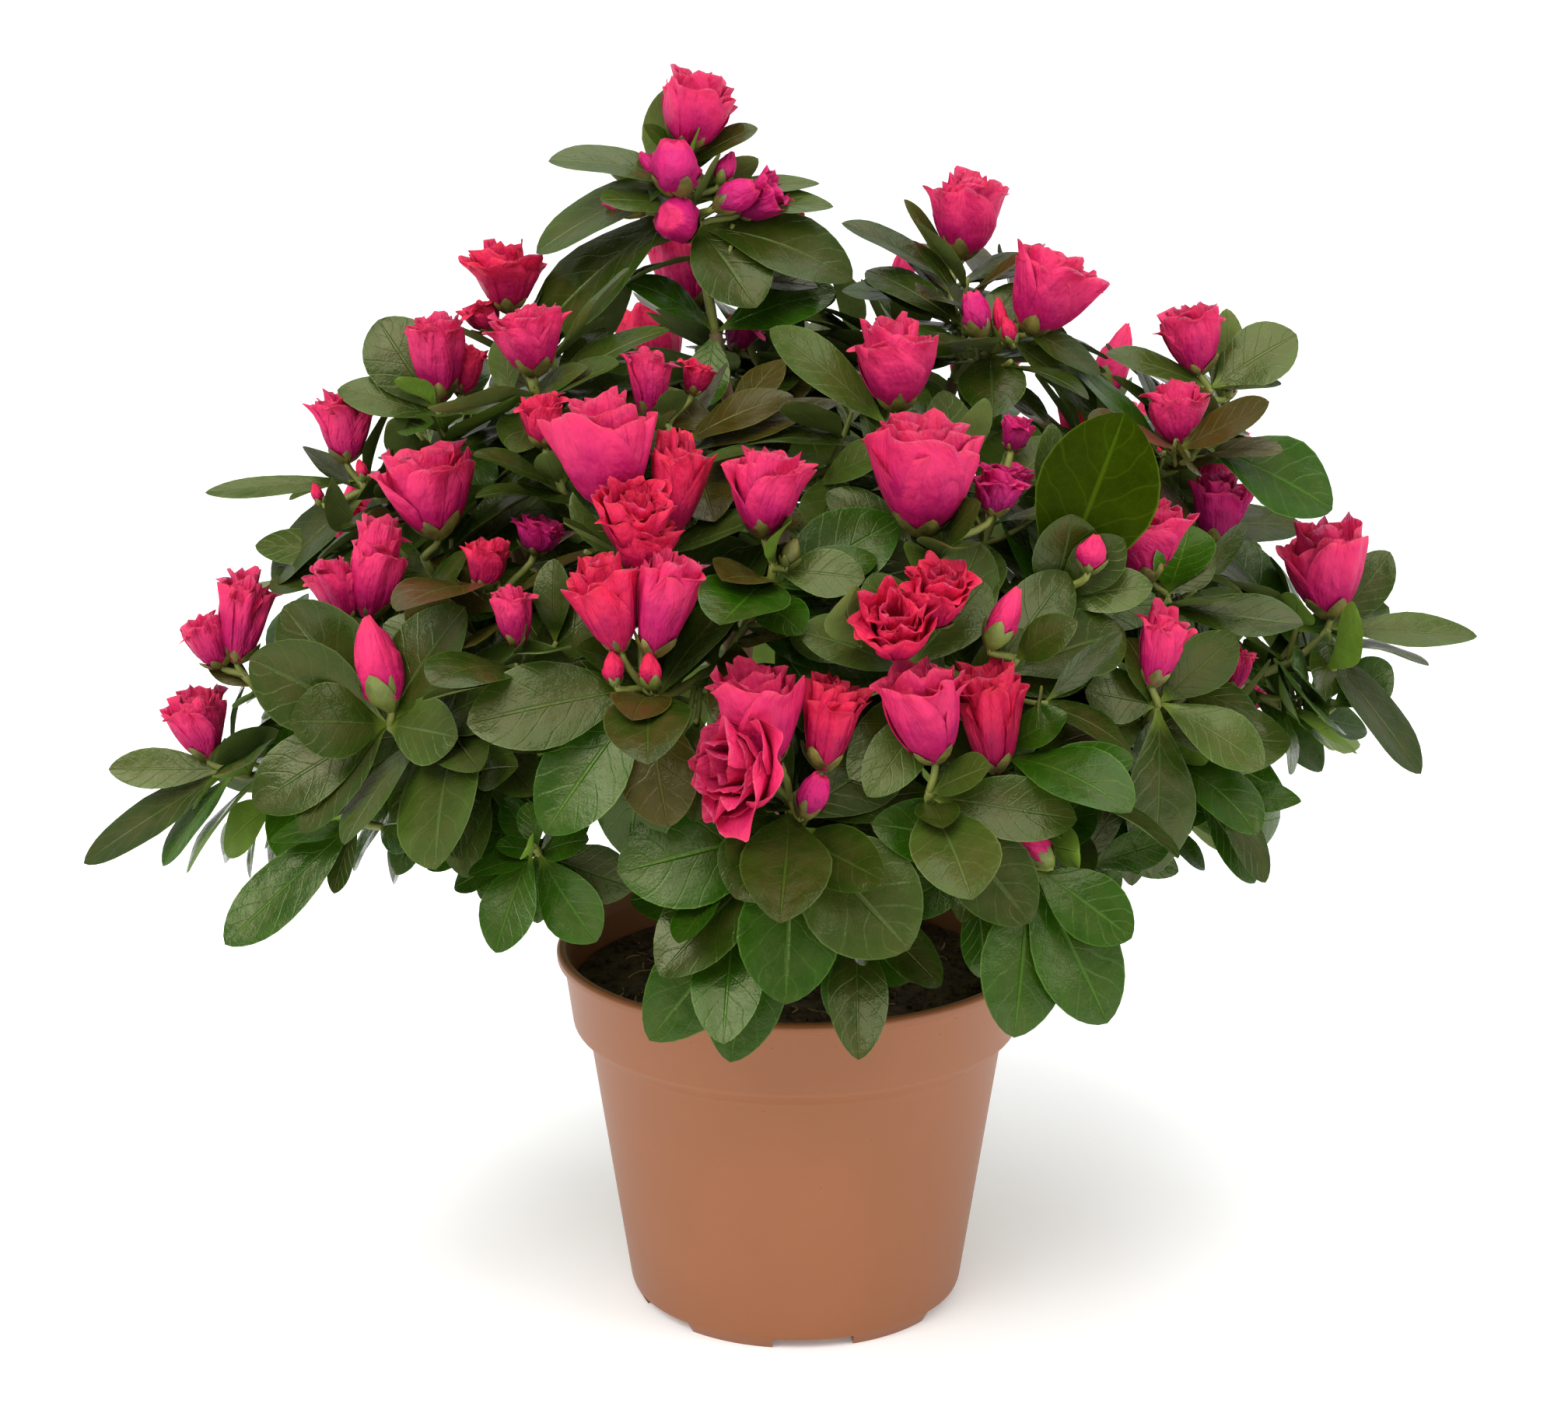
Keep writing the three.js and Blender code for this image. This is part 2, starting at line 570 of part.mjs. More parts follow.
for (const mass of masses) {
  const whole = oneBody(Manifold.union(mass.pieces));
  addMesh(`foliage_${mass.name}`, toGeometry(whole), COLOURS.leaf, 0.5);
}

export default group;
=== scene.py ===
import math

import bmesh
import bpy
import numpy as np
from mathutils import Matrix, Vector, noise
from mathutils.bvhtree import BVHTree


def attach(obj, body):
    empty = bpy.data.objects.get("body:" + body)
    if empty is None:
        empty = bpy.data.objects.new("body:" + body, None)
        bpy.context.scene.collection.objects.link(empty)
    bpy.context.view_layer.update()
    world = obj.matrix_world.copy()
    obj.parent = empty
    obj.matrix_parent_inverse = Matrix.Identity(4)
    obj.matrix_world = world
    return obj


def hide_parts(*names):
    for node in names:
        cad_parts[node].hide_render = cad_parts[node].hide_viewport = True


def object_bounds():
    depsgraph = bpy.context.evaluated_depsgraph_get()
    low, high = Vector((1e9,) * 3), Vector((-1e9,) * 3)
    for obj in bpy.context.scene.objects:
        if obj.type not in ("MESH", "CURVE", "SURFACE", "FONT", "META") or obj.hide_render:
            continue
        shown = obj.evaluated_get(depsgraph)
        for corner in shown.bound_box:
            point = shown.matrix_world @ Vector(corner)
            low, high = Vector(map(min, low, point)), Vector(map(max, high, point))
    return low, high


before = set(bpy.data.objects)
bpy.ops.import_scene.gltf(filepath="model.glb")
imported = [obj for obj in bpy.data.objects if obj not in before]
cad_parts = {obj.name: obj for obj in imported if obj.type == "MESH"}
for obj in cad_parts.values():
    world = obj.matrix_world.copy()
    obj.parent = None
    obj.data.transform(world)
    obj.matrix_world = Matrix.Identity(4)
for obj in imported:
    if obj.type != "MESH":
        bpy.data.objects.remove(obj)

cad_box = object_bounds()
bpy.ops.object.select_all(action="DESELECT")

# Studio: the plant stands on a wide white floor under a white sky, in the soft light of one broad key
# light and three large panels, and the camera looks a little down on it, as in the photograph.

CAMERA_PLACE = (-0.003, -0.798, 0.370)
CAMERA_PITCH = 74.73          # degrees up from straight down
CAMERA_LENS, CAMERA_SENSOR = 77.14, 36      # millimetres
CAMERA_REACH = 100            # metres
FLOOR_SIZE = 40
FLOOR_SHADE, FLOOR_GLOW = (0.95, 0.95, 0.95, 1), 0.14
WHITE = (1, 1, 1, 1)
SKY_STRENGTH = 0.6
KEY_TURN, KEY_HEIGHT = -112, 58      # degrees from +X, and degrees up
KEY_SPREAD = 55               # degrees across, which keeps its shadows soft
KEY_STRENGTH = 2.5
PANELS = [                    # place, size and watts
    ((-1.0, -1.1, 1.25), 0.9, 10),
    ((1.3, -0.7, 0.95), 0.9, 8),
    ((0.1, 0.5, 1.7), 1.2, 8),
]
PANELS_AIM = (0, 0, 0.16)     # the middle of the plant

bpy.ops.object.camera_add(location=CAMERA_PLACE, rotation=(math.radians(CAMERA_PITCH), 0, 0))
camera = bpy.context.object
camera.data.lens = CAMERA_LENS
camera.data.sensor_width = CAMERA_SENSOR
camera.data.clip_end = CAMERA_REACH
bpy.context.scene.camera = camera
bpy.context.scene.view_settings.view_transform = "Standard"

def linear(*srgb):
    """A colour given as the eye sees it, 0 to 255, as the shader wants it."""
    shares = [value / 255 for value in srgb]
    return tuple(s / 12.92 if s <= 0.04045 else ((s + 0.055) / 1.055) ** 2.4 for s in shares) + (1,)


def add_node(tree, kind, inputs=None, **settings):
    """A shader node with its settings made and its inputs set to values or joined to sockets."""
    node = tree.nodes.new("ShaderNode" + kind)
    for name, value in settings.items():
        setattr(node, name, value)
    for name, value in (inputs or {}).items():
        if isinstance(value, bpy.types.NodeSocket):
            tree.links.new(value, node.inputs[name])
        else:
            node.inputs[name].default_value = value
    return node


def new_material(name, **constants):
    """A material, its node tree and its Principled shader, with the constants on the shader's own sockets."""
    material = bpy.data.materials.new(name)
    material.use_nodes = True
    tree = material.node_tree
    shader = tree.nodes["Principled BSDF"]
    for socket, value in constants.items():
        shader.inputs[socket.replace("_", " ")].default_value = value
    return material, tree, shader


sky = bpy.data.worlds.new("studio_sky")
sky.use_nodes = True
sky_light = sky.node_tree.nodes["Background"].inputs
sky_light["Color"].default_value = WHITE
sky_light["Strength"].default_value = SKY_STRENGTH
bpy.context.scene.world = sky

bpy.ops.object.light_add(type="SUN", rotation=(0, math.radians(90 - KEY_HEIGHT), math.radians(KEY_TURN)))
key_light = bpy.context.object
key_light.name = "key_light"
key_light.data.angle = math.radians(KEY_SPREAD)
key_light.data.energy = KEY_STRENGTH

for number, (place, size, watts) in enumerate(PANELS):
    aim = Vector(PANELS_AIM) - Vector(place)
    bpy.ops.object.light_add(type="AREA", location=place, rotation=aim.to_track_quat("-Z", "Y").to_euler())
    panel = bpy.context.object
    panel.name = f"panel_{number + 1}"
    panel.data.size = size
    panel.data.energy = watts

bpy.ops.mesh.primitive_plane_add(size=FLOOR_SIZE)
floor = bpy.context.object
floor.name = "floor"
floor_white, _, _ = new_material(
    "floor_white", Base_Color=FLOOR_SHADE, Roughness=0.9, Emission_Color=WHITE, Emission_Strength=FLOOR_GLOW,
)
floor.data.materials.append(floor_white)

# Pot: a nursery pot of satin terracotta-coloured plastic, moulded in one piece with a lip, a deep
# band under it, a tapering body and a flat floor whose foot has six drainage notches.

MM = 0.001
NEAR, TOUCHING = 0.05, 0.01   # how near a height counts as the same, and points as one
POT_SIDES = 96
POT_OUTSIDE = [               # radius and height, from the foot up
    (40.3, 0), (42.1, 3.2), (47.0, 36), (51.9, 68.7), (56.0, 72.5), (58.2, 88.8), (59.9, 89.6), (60, 91.2),
]
POT_INSIDE = [(57.8, 92), (56.6, 88.8), (54.4, 72.5), (50.3, 68.7), (40.7, 4.8)]
LIP_CROWN = (59.2, 92)
POT_ROUNDINGS = [             # an edge's height, and how far the mould rounds it
    (3.2, 1.0), (68.7, 0.7), (72.5, 0.9), (88.8, 0.4), (91.2, 0.35), (92, 0.35),
]
ROUNDED_FROM = 41             # the radius from which these edges are rounded
FLOOR_RING = 3                # breadth of the ring of faces round a disc
SMALL_ROUND, SHARP_ANGLE = 0.3, 55          # on every edge sharper than so many degrees
POT_SMOOTH_ANGLE = 40
NOTCHES = 6
NOTCH_SIZE = (14, 20, 5.6)
NOTCH_REACH = POT_OUTSIDE[1][0]
NOTCH_TURN = -84              # degrees from +X to the notch that faces the viewer


def start_ring(name, ring, sides):
    """A ring of edges at the foot of a profile, left in edit mode for the rings above it."""
    bpy.ops.mesh.primitive_circle_add(vertices=sides, radius=ring[0] * MM, location=(0, 0, ring[1] * MM))
    piece = bpy.context.object
    piece.name = piece.data.name = name
    bpy.ops.object.transform_apply(location=True, rotation=True, scale=True)
    bpy.ops.object.mode_set(mode="EDIT")
    bpy.ops.mesh.select_all(action="SELECT")
    return piece


def close_ring():
    """Fills the selected ring with a disc and an inset ring of faces."""
    bpy.ops.mesh.edge_face_add()
    bpy.ops.mesh.inset(thickness=FLOOR_RING * MM)


def pull_rings(rings):
    """Extrudes the selected ring through each further radius and height."""
    for (radius, height), (next_radius, next_height) in zip(rings, rings[1:]):
        rise = (0, 0, (next_height - height) * MM)
        bpy.ops.mesh.extrude_region_move(TRANSFORM_OT_translate={"value": rise})
        share = next_radius / radius
        bpy.ops.transform.resize(value=(share, share, 1), center_override=(0, 0, next_height * MM))


def pick(piece, wanted):
    """Selects the vertices of a piece in edit mode for which wanted(radius, height) holds, in millimetres."""
    shape = bmesh.from_edit_mesh(piece.data)
    for vertex in shape.verts:
        vertex.select_set(wanted(vertex.co.xy.length / MM, vertex.co.z / MM))
    shape.select_mode = {"VERT"}
    shape.select_flush_mode()
    bmesh.update_edit_mesh(piece.data)


def finish_modifier(piece, kind, **settings):
    """Adds a modifier and applies it."""
    modifier = piece.modifiers.new(kind.lower(), kind)
    for name, value in settings.items():
        setattr(modifier, name, value)
    bpy.context.view_layer.objects.active = piece
    bpy.ops.object.modifier_apply(modifier=modifier.name)


pot_rings = POT_OUTSIDE + [LIP_CROWN] + POT_INSIDE
pot = start_ring("terracotta_pot", pot_rings[0], POT_SIDES)
pull_rings(pot_rings)
close_ring()
pick(pot, lambda radius, height: height < NEAR)
close_ring()
for edge_height, round_by in POT_ROUNDINGS:
    pick(pot, lambda radius, height, at=edge_height: abs(height - at) < NEAR and radius > ROUNDED_FROM)
    bpy.ops.mesh.bevel(offset=round_by * MM, segments=3)
bpy.ops.mesh.select_all(action="SELECT")
bpy.ops.mesh.remove_doubles(threshold=TOUCHING * MM)
bpy.ops.mesh.normals_make_consistent(inside=False)
bpy.ops.object.mode_set(mode="OBJECT")

for number in range(NOTCHES):
    turn = math.radians(NOTCH_TURN + number * 360 / NOTCHES)
    at = (NOTCH_REACH * MM * math.cos(turn), NOTCH_REACH * MM * math.sin(turn), 0)
    bpy.ops.mesh.primitive_cube_add(size=MM, location=at, rotation=(0, 0, turn), scale=NOTCH_SIZE)
    cutter = bpy.context.object
    finish_modifier(pot, "BOOLEAN", object=cutter, operation="DIFFERENCE", solver="EXACT")
    bpy.data.objects.remove(cutter)
finish_modifier(pot, "BEVEL", width=SMALL_ROUND * MM, segments=2, limit_method="ANGLE",
                angle_limit=math.radians(SHARP_ANGLE))
bpy.ops.object.select_all(action="DESELECT")
pot.select_set(True)
bpy.ops.object.shade_smooth_by_angle(angle=math.radians(POT_SMOOTH_ANGLE))


def add_noise(tree, place, size, detail):
    """Cloudy noise, the finer the greater its size."""
    return add_node(tree, "TexNoise", {"Vector": place, "Scale": size, "Detail": detail}).outputs["Fac"]


def add_range(tree, value, low, high, to_low=0, to_high=1, **settings):
    """A value between two limits, spread between two others."""
    limits = {"Value": value, "From Min": low, "From Max": high, "To Min": to_low, "To Max": to_high}
    return add_node(tree, "MapRange", limits, **settings).outputs[0]


def add_step(tree, value, low, high, to_low=0, to_high=1):
    """The same with soft ends."""
    return add_range(tree, value, low, high, to_low, to_high, interpolation_type="SMOOTHSTEP")


def add_maths(tree, operation, *values, **settings):
    """The result of one operation on values or sockets."""
    return add_node(tree, "Math", dict(enumerate(values)), operation=operation, **settings).outputs[0]


def add_blend(tree, share, under, over):
    """One colour laid over another by a share."""
    return add_node(tree, "Mix", {"Factor": share, "A": under, "B": over}, data_type="RGBA").outputs["Result"]


def add_bump(tree, shader, height, distance, strength):
    """Relief on a shader from a height."""
    bump = add_node(tree, "Bump", {"Height": height, "Distance": distance, "Strength": strength})
    tree.links.new(bump.outputs["Normal"], shader.inputs["Normal"])


def start_group(name, **sockets):
    """A node group and what it is given, each with its kind of socket."""
    group = bpy.data.node_groups.new(name, "ShaderNodeTree")
    for socket, kind in sockets.items():
        group.interface.new_socket(socket.replace("_", " "), in_out="INPUT", socket_type=f"NodeSocket{kind}")
    return group, group.nodes.new("NodeGroupInput").outputs


def finish_group(group, **results):
    """Lets a node group put out its results, each under its name."""
    for name, value in results.items():
        kind = "Color" if value.type == "RGBA" else "Float"
        group.interface.new_socket(name, in_out="OUTPUT", socket_type=f"NodeSocket{kind}")
    sockets = group.nodes.new("NodeGroupOutput").inputs
    for name, value in results.items():
        group.links.new(value, sockets[name])
    return group


def uneven_group():
    """The soft unevenness that a moulded, grown or weathered surface has: a lighter and darker colour."""
    group, given = start_group("uneven_colour", Place="Vector", Size="Float", Amount="Float", Colour="Color")
    cloud = add_noise(group, given["Place"], given["Size"], 5)
    low = add_maths(group, "SUBTRACT", 1, given["Amount"])
    high = add_maths(group, "ADD", 1, given["Amount"])
    value = add_range(group, cloud, 0.25, 0.75, low, high)
    shaded = add_node(group, "HueSaturation", {"Color": given["Colour"], "Value": value})
    return finish_group(group, Colour=shaded.outputs["Color"], Cloud=cloud)


uneven = uneven_group()


def add_uneven(tree, place, size, amount, shade):
    """The group of uneven colour, placed in a material with that material's own values."""
    values = {"Place": place, "Size": size, "Amount": amount, "Colour": linear(*shade)}
    return add_node(tree, "Group", values, node_tree=uneven).outputs


def plastic_skin():
    """Satin plastic to which specks of peat dust cling, the largest on the band."""
    material, tree, shader = new_material("terracotta_plastic", Specular_IOR_Level=0.38)
    place = add_node(tree, "TexCoord").outputs["Object"]
    height = add_node(tree, "SeparateXYZ", {0: place}).outputs["Z"]
    tint = add_uneven(tree, place, 34, 0.05, (140, 85, 50))
    speck = add_node(tree, "TexVoronoi", {"Vector": place, "Scale": 210}).outputs["Distance"]
    speck_size = add_range(tree, height, 0.02, 0.09, 0.035, 0.085)
    speck_reach = add_maths(tree, "MULTIPLY", speck_size, add_noise(tree, place, 60, 2))
    speckled = add_blend(
        tree, add_maths(tree, "LESS_THAN", speck, speck_reach), tint["Colour"], linear(100, 58, 38),
    )
    tree.links.new(speckled, shader.inputs["Base Color"])
    tree.links.new(add_range(tree, tint["Cloud"], 0, 1, 0.36, 0.52), shader.inputs["Roughness"])
    add_bump(tree, shader, add_noise(tree, place, 2600, 3), 0.00006, 0.5)
    return material


pot.data.materials.append(plastic_skin())
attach(pot, "root")
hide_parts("pot")

# Potting soil: dark fibrous peat pressed into the pot to a little under its lip, with loose crumbs
# and straw-coloured fibres on it. It rises slightly to the stem.

SOIL_SIDES = 72
SOIL_TOP = 84
SOIL_EDGE = (55.2, 82)
SOIL_WALL = [(40.2, 5.1), (50.0, 69), (54.0, 73), SOIL_EDGE]
SOIL_STEPS = 20               # rings from the pot to the middle
SOIL_FLAT = 2                 # the radius of the flat middle
SOIL_RELIEF = [("clods", 0.012, 2.4), ("crumb", 0.0035, 1.3)]      # name, size in metres, height
SOIL_SMOOTH_ANGLE = 50
CRUMBS, CRUMB_REACH = 700, 53.5
CRUMB_LEAST, CRUMB_GROWTH = 0.5, 1.7
FIBRES, FIBRE_REACH, FIBRE_END = 200, 52, 54.5
FIBRE_LENGTHS, FIBRE_RADII, FIBRE_BOW = (3, 11), (0.12, 0.28), 1.5
FIBRE_RISE = 0.35             # how high a fibre lies over the soil

soil_rings = list(SOIL_WALL)
for step in range(1, SOIL_STEPS):
    share = step / SOIL_STEPS
    soil_rings.append((
        SOIL_EDGE[0] + (SOIL_FLAT - SOIL_EDGE[0]) * share, SOIL_EDGE[1] + (SOIL_TOP - SOIL_EDGE[1]) * share,
    ))
soil = start_ring("peat_soil", soil_rings[0], SOIL_SIDES)
pull_rings(soil_rings)
bpy.ops.mesh.edge_face_add()
pick(soil, lambda radius, height: height < SOIL_WALL[0][1] + NEAR)
close_ring()
pick(soil, lambda radius, height: height > SOIL_EDGE[1] + NEAR)
bpy.ops.object.mode_set(mode="OBJECT")
surface = soil.vertex_groups.new(name="surface")
surface.add([v.index for v in soil.data.vertices if v.co.z > (SOIL_EDGE[1] + NEAR) * MM], 1, "REPLACE")
for name, size, height in SOIL_RELIEF:
    clouds = bpy.data.textures.new(name, "CLOUDS")
    clouds.noise_scale = size
    clouds.noise_depth = 3
    finish_modifier(soil, "DISPLACE", texture=clouds, strength=height * MM, mid_level=0.6, direction="Z",
                    vertex_group="surface")


class Batch:
    """Closed tubes and shells that are joined into one mesh. Points are in millimetres."""

    def __init__(self):
        self.points, self.texture, self.rims = [], [], []
        self.faces = {3: [], 4: []}
        self.paints = {3: [], 4: []}
        self.count = 0

    def add(self, points, texture, rims, faces):
        """Takes points, their places on the texture, which are on a rim, and (corners, paint) arrays."""
        for corners, paint in faces:
            sides = corners.shape[1]
            self.faces[sides].append(corners + self.count)
            self.paints[sides].append(np.broadcast_to(paint, len(corners)))
        self.points.append(points)
        self.texture.append(texture)
        self.rims.append(rims)
        self.count += len(points)

    def make(self, name, materials):
        """The joined mesh, smooth but for its rims."""
        points = np.concatenate(self.points) * MM
        texture = np.concatenate(self.texture)
        rims = np.concatenate(self.rims)
        stacks = [(sides, np.concatenate(self.faces[sides])) for sides in (4, 3) if self.faces[sides]]
        corners = np.concatenate([faces.ravel() for sides, faces in stacks])
        sizes = np.concatenate([np.full(len(faces), sides) for sides, faces in stacks])
        paints = np.concatenate([np.concatenate(self.paints[sides]) for sides, faces in stacks])
        mesh = bpy.data.meshes.new(name)
        mesh.vertices.add(len(points))
        mesh.vertices.foreach_set("co", points.astype(np.float32).ravel())
        mesh.loops.add(len(corners))
        mesh.loops.foreach_set("vertex_index", corners.astype(np.int32))
        mesh.polygons.add(len(sizes))
        mesh.polygons.foreach_set("loop_start", (np.cumsum(sizes) - sizes).astype(np.int32))
        mesh.polygons.foreach_set("material_index", paints.astype(np.int32))
        mesh.update(calc_edges=True)
        layer = mesh.uv_layers.new(name="UVMap")
        layer.data.foreach_set("uv", texture[corners].astype(np.float32).ravel())
        mesh.shade_smooth()
        ends = np.zeros(len(mesh.edges) * 2, np.int32)
        mesh.edges.foreach_get("vertices", ends)
        sharp = mesh.attributes.new("sharp_edge", "BOOLEAN", "EDGE")
        sharp.data.foreach_set("value", rims[ends.reshape(-1, 2)].all(axis=1))
        for material in materials:
            mesh.materials.append(material)
        piece = bpy.data.objects.new(name, mesh)
        bpy.context.scene.collection.objects.link(piece)
        return piece


def tube_faces(rings, sides):
    """Quads round a tube of rings, and the triangles that close it to a first and a last point."""
    grid = np.arange(rings * sides).reshape(rings, sides) + 1
    after = np.roll(grid, -1, axis=1)
    quads = np.stack([grid[:-1], grid[1:], after[1:], after[:-1]], -1)
    end = rings * sides + 1
    starts = np.stack([np.zeros(sides, int), grid[0], after[0]], -1)
    ends = np.stack([grid[-1], np.full(sides, end), after[-1]], -1)
    return quads, starts, ends


def add_tube(batch, grid, first, last, paint=0, rims=None, side_paints=None, texture=None):
    """A closed tube from a grid of rings of points and the two points that close it."""
    rings, sides = grid.shape[:2]
    quads, starts, ends = tube_faces(rings, sides)
    paints = np.full(sides, paint) if side_paints is None else np.asarray(side_paints)
    if texture is None:
        across, along = np.meshgrid(np.arange(sides) / sides, np.linspace(0, 1, rings))
        texture = np.stack([across, along], -1)
    points = np.concatenate([[first], grid.reshape(-1, 3), [last]])
    places = np.concatenate([[[0.5, 0]], texture.reshape(-1, 2), [[0.5, 1]]])
    flags = np.zeros(len(points), bool)
    if rims is not None:
        flags = np.concatenate([[True], np.tile(rims, rings), [True]])
    batch.add(points, places, flags, [
        (quads.reshape(-1, 4), np.tile(paints, rings - 1)), (starts, paints), (ends, paints),
    ])


def unit(vector):
    """A vector's direction."""
    return vector / np.linalg.norm(vector)


def sweep(path, radii, sides):
    """Rings of points round a path, each as wide as its radius. Radii may differ round a ring."""
    headings = np.gradient(path, axis=0)
    headings /= np.linalg.norm(headings, axis=1)[:, None]
    across = np.array([1.0, 0, 0]) if abs(headings[0][0]) < 0.8 else np.array([0, 1.0, 0])
    angles = np.arange(sides) * 2 * np.pi / sides
    radii = np.asarray(radii, float).reshape(len(path), -1)
    grid = np.empty((len(path), sides, 3))
    for number, (place, heading) in enumerate(zip(path, headings)):
        across = unit(across - heading * across.dot(heading))
        beside = np.cross(across, heading)
        ring = np.outer(np.cos(angles), across) + np.outer(np.sin(angles), beside)
        grid[number] = place + ring * radii[number][:, None]
    return grid


def soil_height(x, y):
    """The height of the soil's surface at a place, read off the finished mesh."""
    hit = soil_tree.ray_cast(Vector((x * MM, y * MM, 0.1)), Vector((0, 0, -1)))[0]
    return hit.z / MM if hit else SOIL_EDGE[1]


soil_tree = BVHTree.FromObject(soil, bpy.context.evaluated_depsgraph_get())
golden = (1 + math.sqrt(5)) / 2
crumb_corners = np.array([
    (0, -1, golden), (0, 1, golden), (golden, 0, 1), (golden, 0, -1), (0, -1, -golden), (0, 1, -golden),
    (-golden, 0, 1), (-golden, 0, -1), (1, golden, 0), (-1, golden, 0), (1, -golden, 0), (-1, -golden, 0),
]) / math.hypot(1, golden)
crumb_hull = bmesh.new()
for corner in crumb_corners:
    crumb_hull.verts.new(corner)
bmesh.ops.convex_hull(crumb_hull, input=crumb_hull.verts)
crumb_hull.verts.index_update()
crumb_triangles = np.array([[v.index for v in face.verts] for face in crumb_hull.faces])
crumb_hull.free()

peat_chance = np.random.default_rng(11)
peat = Batch()


def scattered(reach):
    """A chance place on the soil, out to a reach."""
    out, turn = reach * math.sqrt(peat_chance.random()), peat_chance.random() * 2 * math.pi
    return out * math.cos(turn), out * math.sin(turn)


for _ in range(CRUMBS):
    x, y = scattered(CRUMB_REACH)
    size = CRUMB_LEAST + CRUMB_GROWTH * peat_chance.random() ** 3
    rough = crumb_corners * peat_chance.uniform(0.6, 1.2, (12, 1)) * peat_chance.uniform(0.7, 1.3, 3) * size
    place = np.array([x, y, soil_height(x, y) + size * 0.3])
    peat.add(rough + place, np.zeros((12, 2)), np.ones(12, bool), [(crumb_triangles, 0)])
for _ in range(FIBRES):
    middle = np.array([*scattered(FIBRE_REACH), 0])
    lie = peat_chance.random() * 2 * math.pi
    way = np.array([math.cos(lie), math.sin(lie), 0])
    bow = np.cross(way, (0, 0, 1)) * peat_chance.uniform(-FIBRE_BOW, FIBRE_BOW)
    length = peat_chance.uniform(*FIBRE_LENGTHS)
    path = [middle + way * length * (k - 0.5) + bow * math.sin(k * math.pi) for k in np.linspace(0, 1, 6)]
    path = [place for place in path if math.hypot(place[0], place[1]) < FIBRE_END]
    if len(path) < 3:
        continue
    path = np.array(path)
    path[:, 2] = [soil_height(x, y) + FIBRE_RISE for x, y, _ in path]
    grid = sweep(path, np.full(len(path), peat_chance.uniform(*FIBRE_RADII)), 3)
    add_tube(peat, grid, path[0], path[-1], paint=1 + int(peat_chance.random() < 0.5))


def natural_material(name, shade, roughness, patches, amount, grain=None, relief=None, stretch=None):
    """A dry or woody surface, uneven in colour by an amount, in patches of a size.

    It may have a grain (size, detail) that stands out as a relief (depth in metres, strength).
    """
    material, tree, shader = new_material(name, Roughness=roughness)
    place = add_node(tree, "TexCoord").outputs["Object"]
    if stretch:
        place = add_node(tree, "Mapping", {"Vector": place, "Scale": stretch}).outputs[0]
    tree.links.new(add_uneven(tree, place, patches, amount, shade)["Colour"], shader.inputs["Base Color"])
    if grain:
        add_bump(tree, shader, add_noise(tree, place, *grain), *relief)
    return material


peat_skins = [
    natural_material("peat", (72, 55, 39), 0.95, 420, 0.75, (1500, 6), (0.0008, 0.9)),
    natural_material("root_fibre", (72, 50, 32), 0.8, 300, 0.3),
    natural_material("straw_fibre", (164, 134, 90), 0.8, 300, 0.3),
]
soil.data.materials.append(peat_skins[0])
crumbs = peat.make("peat_crumbs", peat_skins)
bpy.ops.object.select_all(action="DESELECT")
soil.select_set(True)
bpy.context.view_layer.objects.active = soil
bpy.ops.object.shade_smooth_by_angle(angle=math.radians(SOIL_SMOOTH_ANGLE))
crumbs.select_set(True)
bpy.ops.object.join()
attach(soil, "root")
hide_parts("potting_soil")

# Trunk and boughs: a short woody stem, cut flat at the soil, from which one tapering bough swings
# out and up to the foot of each mass of foliage. The bark is thin, pinkish brown and ridged.

GAP = 0.3
TRUNK_BASE_RADIUS, TRUNK_TOP_RADIUS = 9.5, 4.6
TRUNK_HEIGHT = 40
TRUNK_LEAN = (-4, 3)
FLARE_LOBES, FLARE_LOBE_SHARE = 5, 0.14
BOUGH_ROOT_RADIUS, BOUGH_TIP_RADIUS = 3.8, 1.7
BOUGH_SHARE = 0.8             # of its parent's radius, at most
BOUGH_BEND = 0.36             # how long a bough keeps its parent's direction
LEAVES_SHARES = np.arange(0.4, 0.901, 0.05)    # of a limb, where boughs leave it
LEAST_RISE = 0.2
TRAVEL_COST = 0.55
CROWN_HEART = np.array([0, 0, 130.0])
STEM_LENGTH = 36
SHOOT_LEAN = 0.5
SHOOT_SEEDS = 20
BARK_SIDES = 12
BARK_STEP, BARK_LEAST_STEPS = 2.6, 6        # length between rings of the bark's relief
BARK_RELIEF = 0.13            # of the radius
BARK_RIDGES, BARK_RUN = 3, 6  # how many ridges stand round a limb, and how long they run

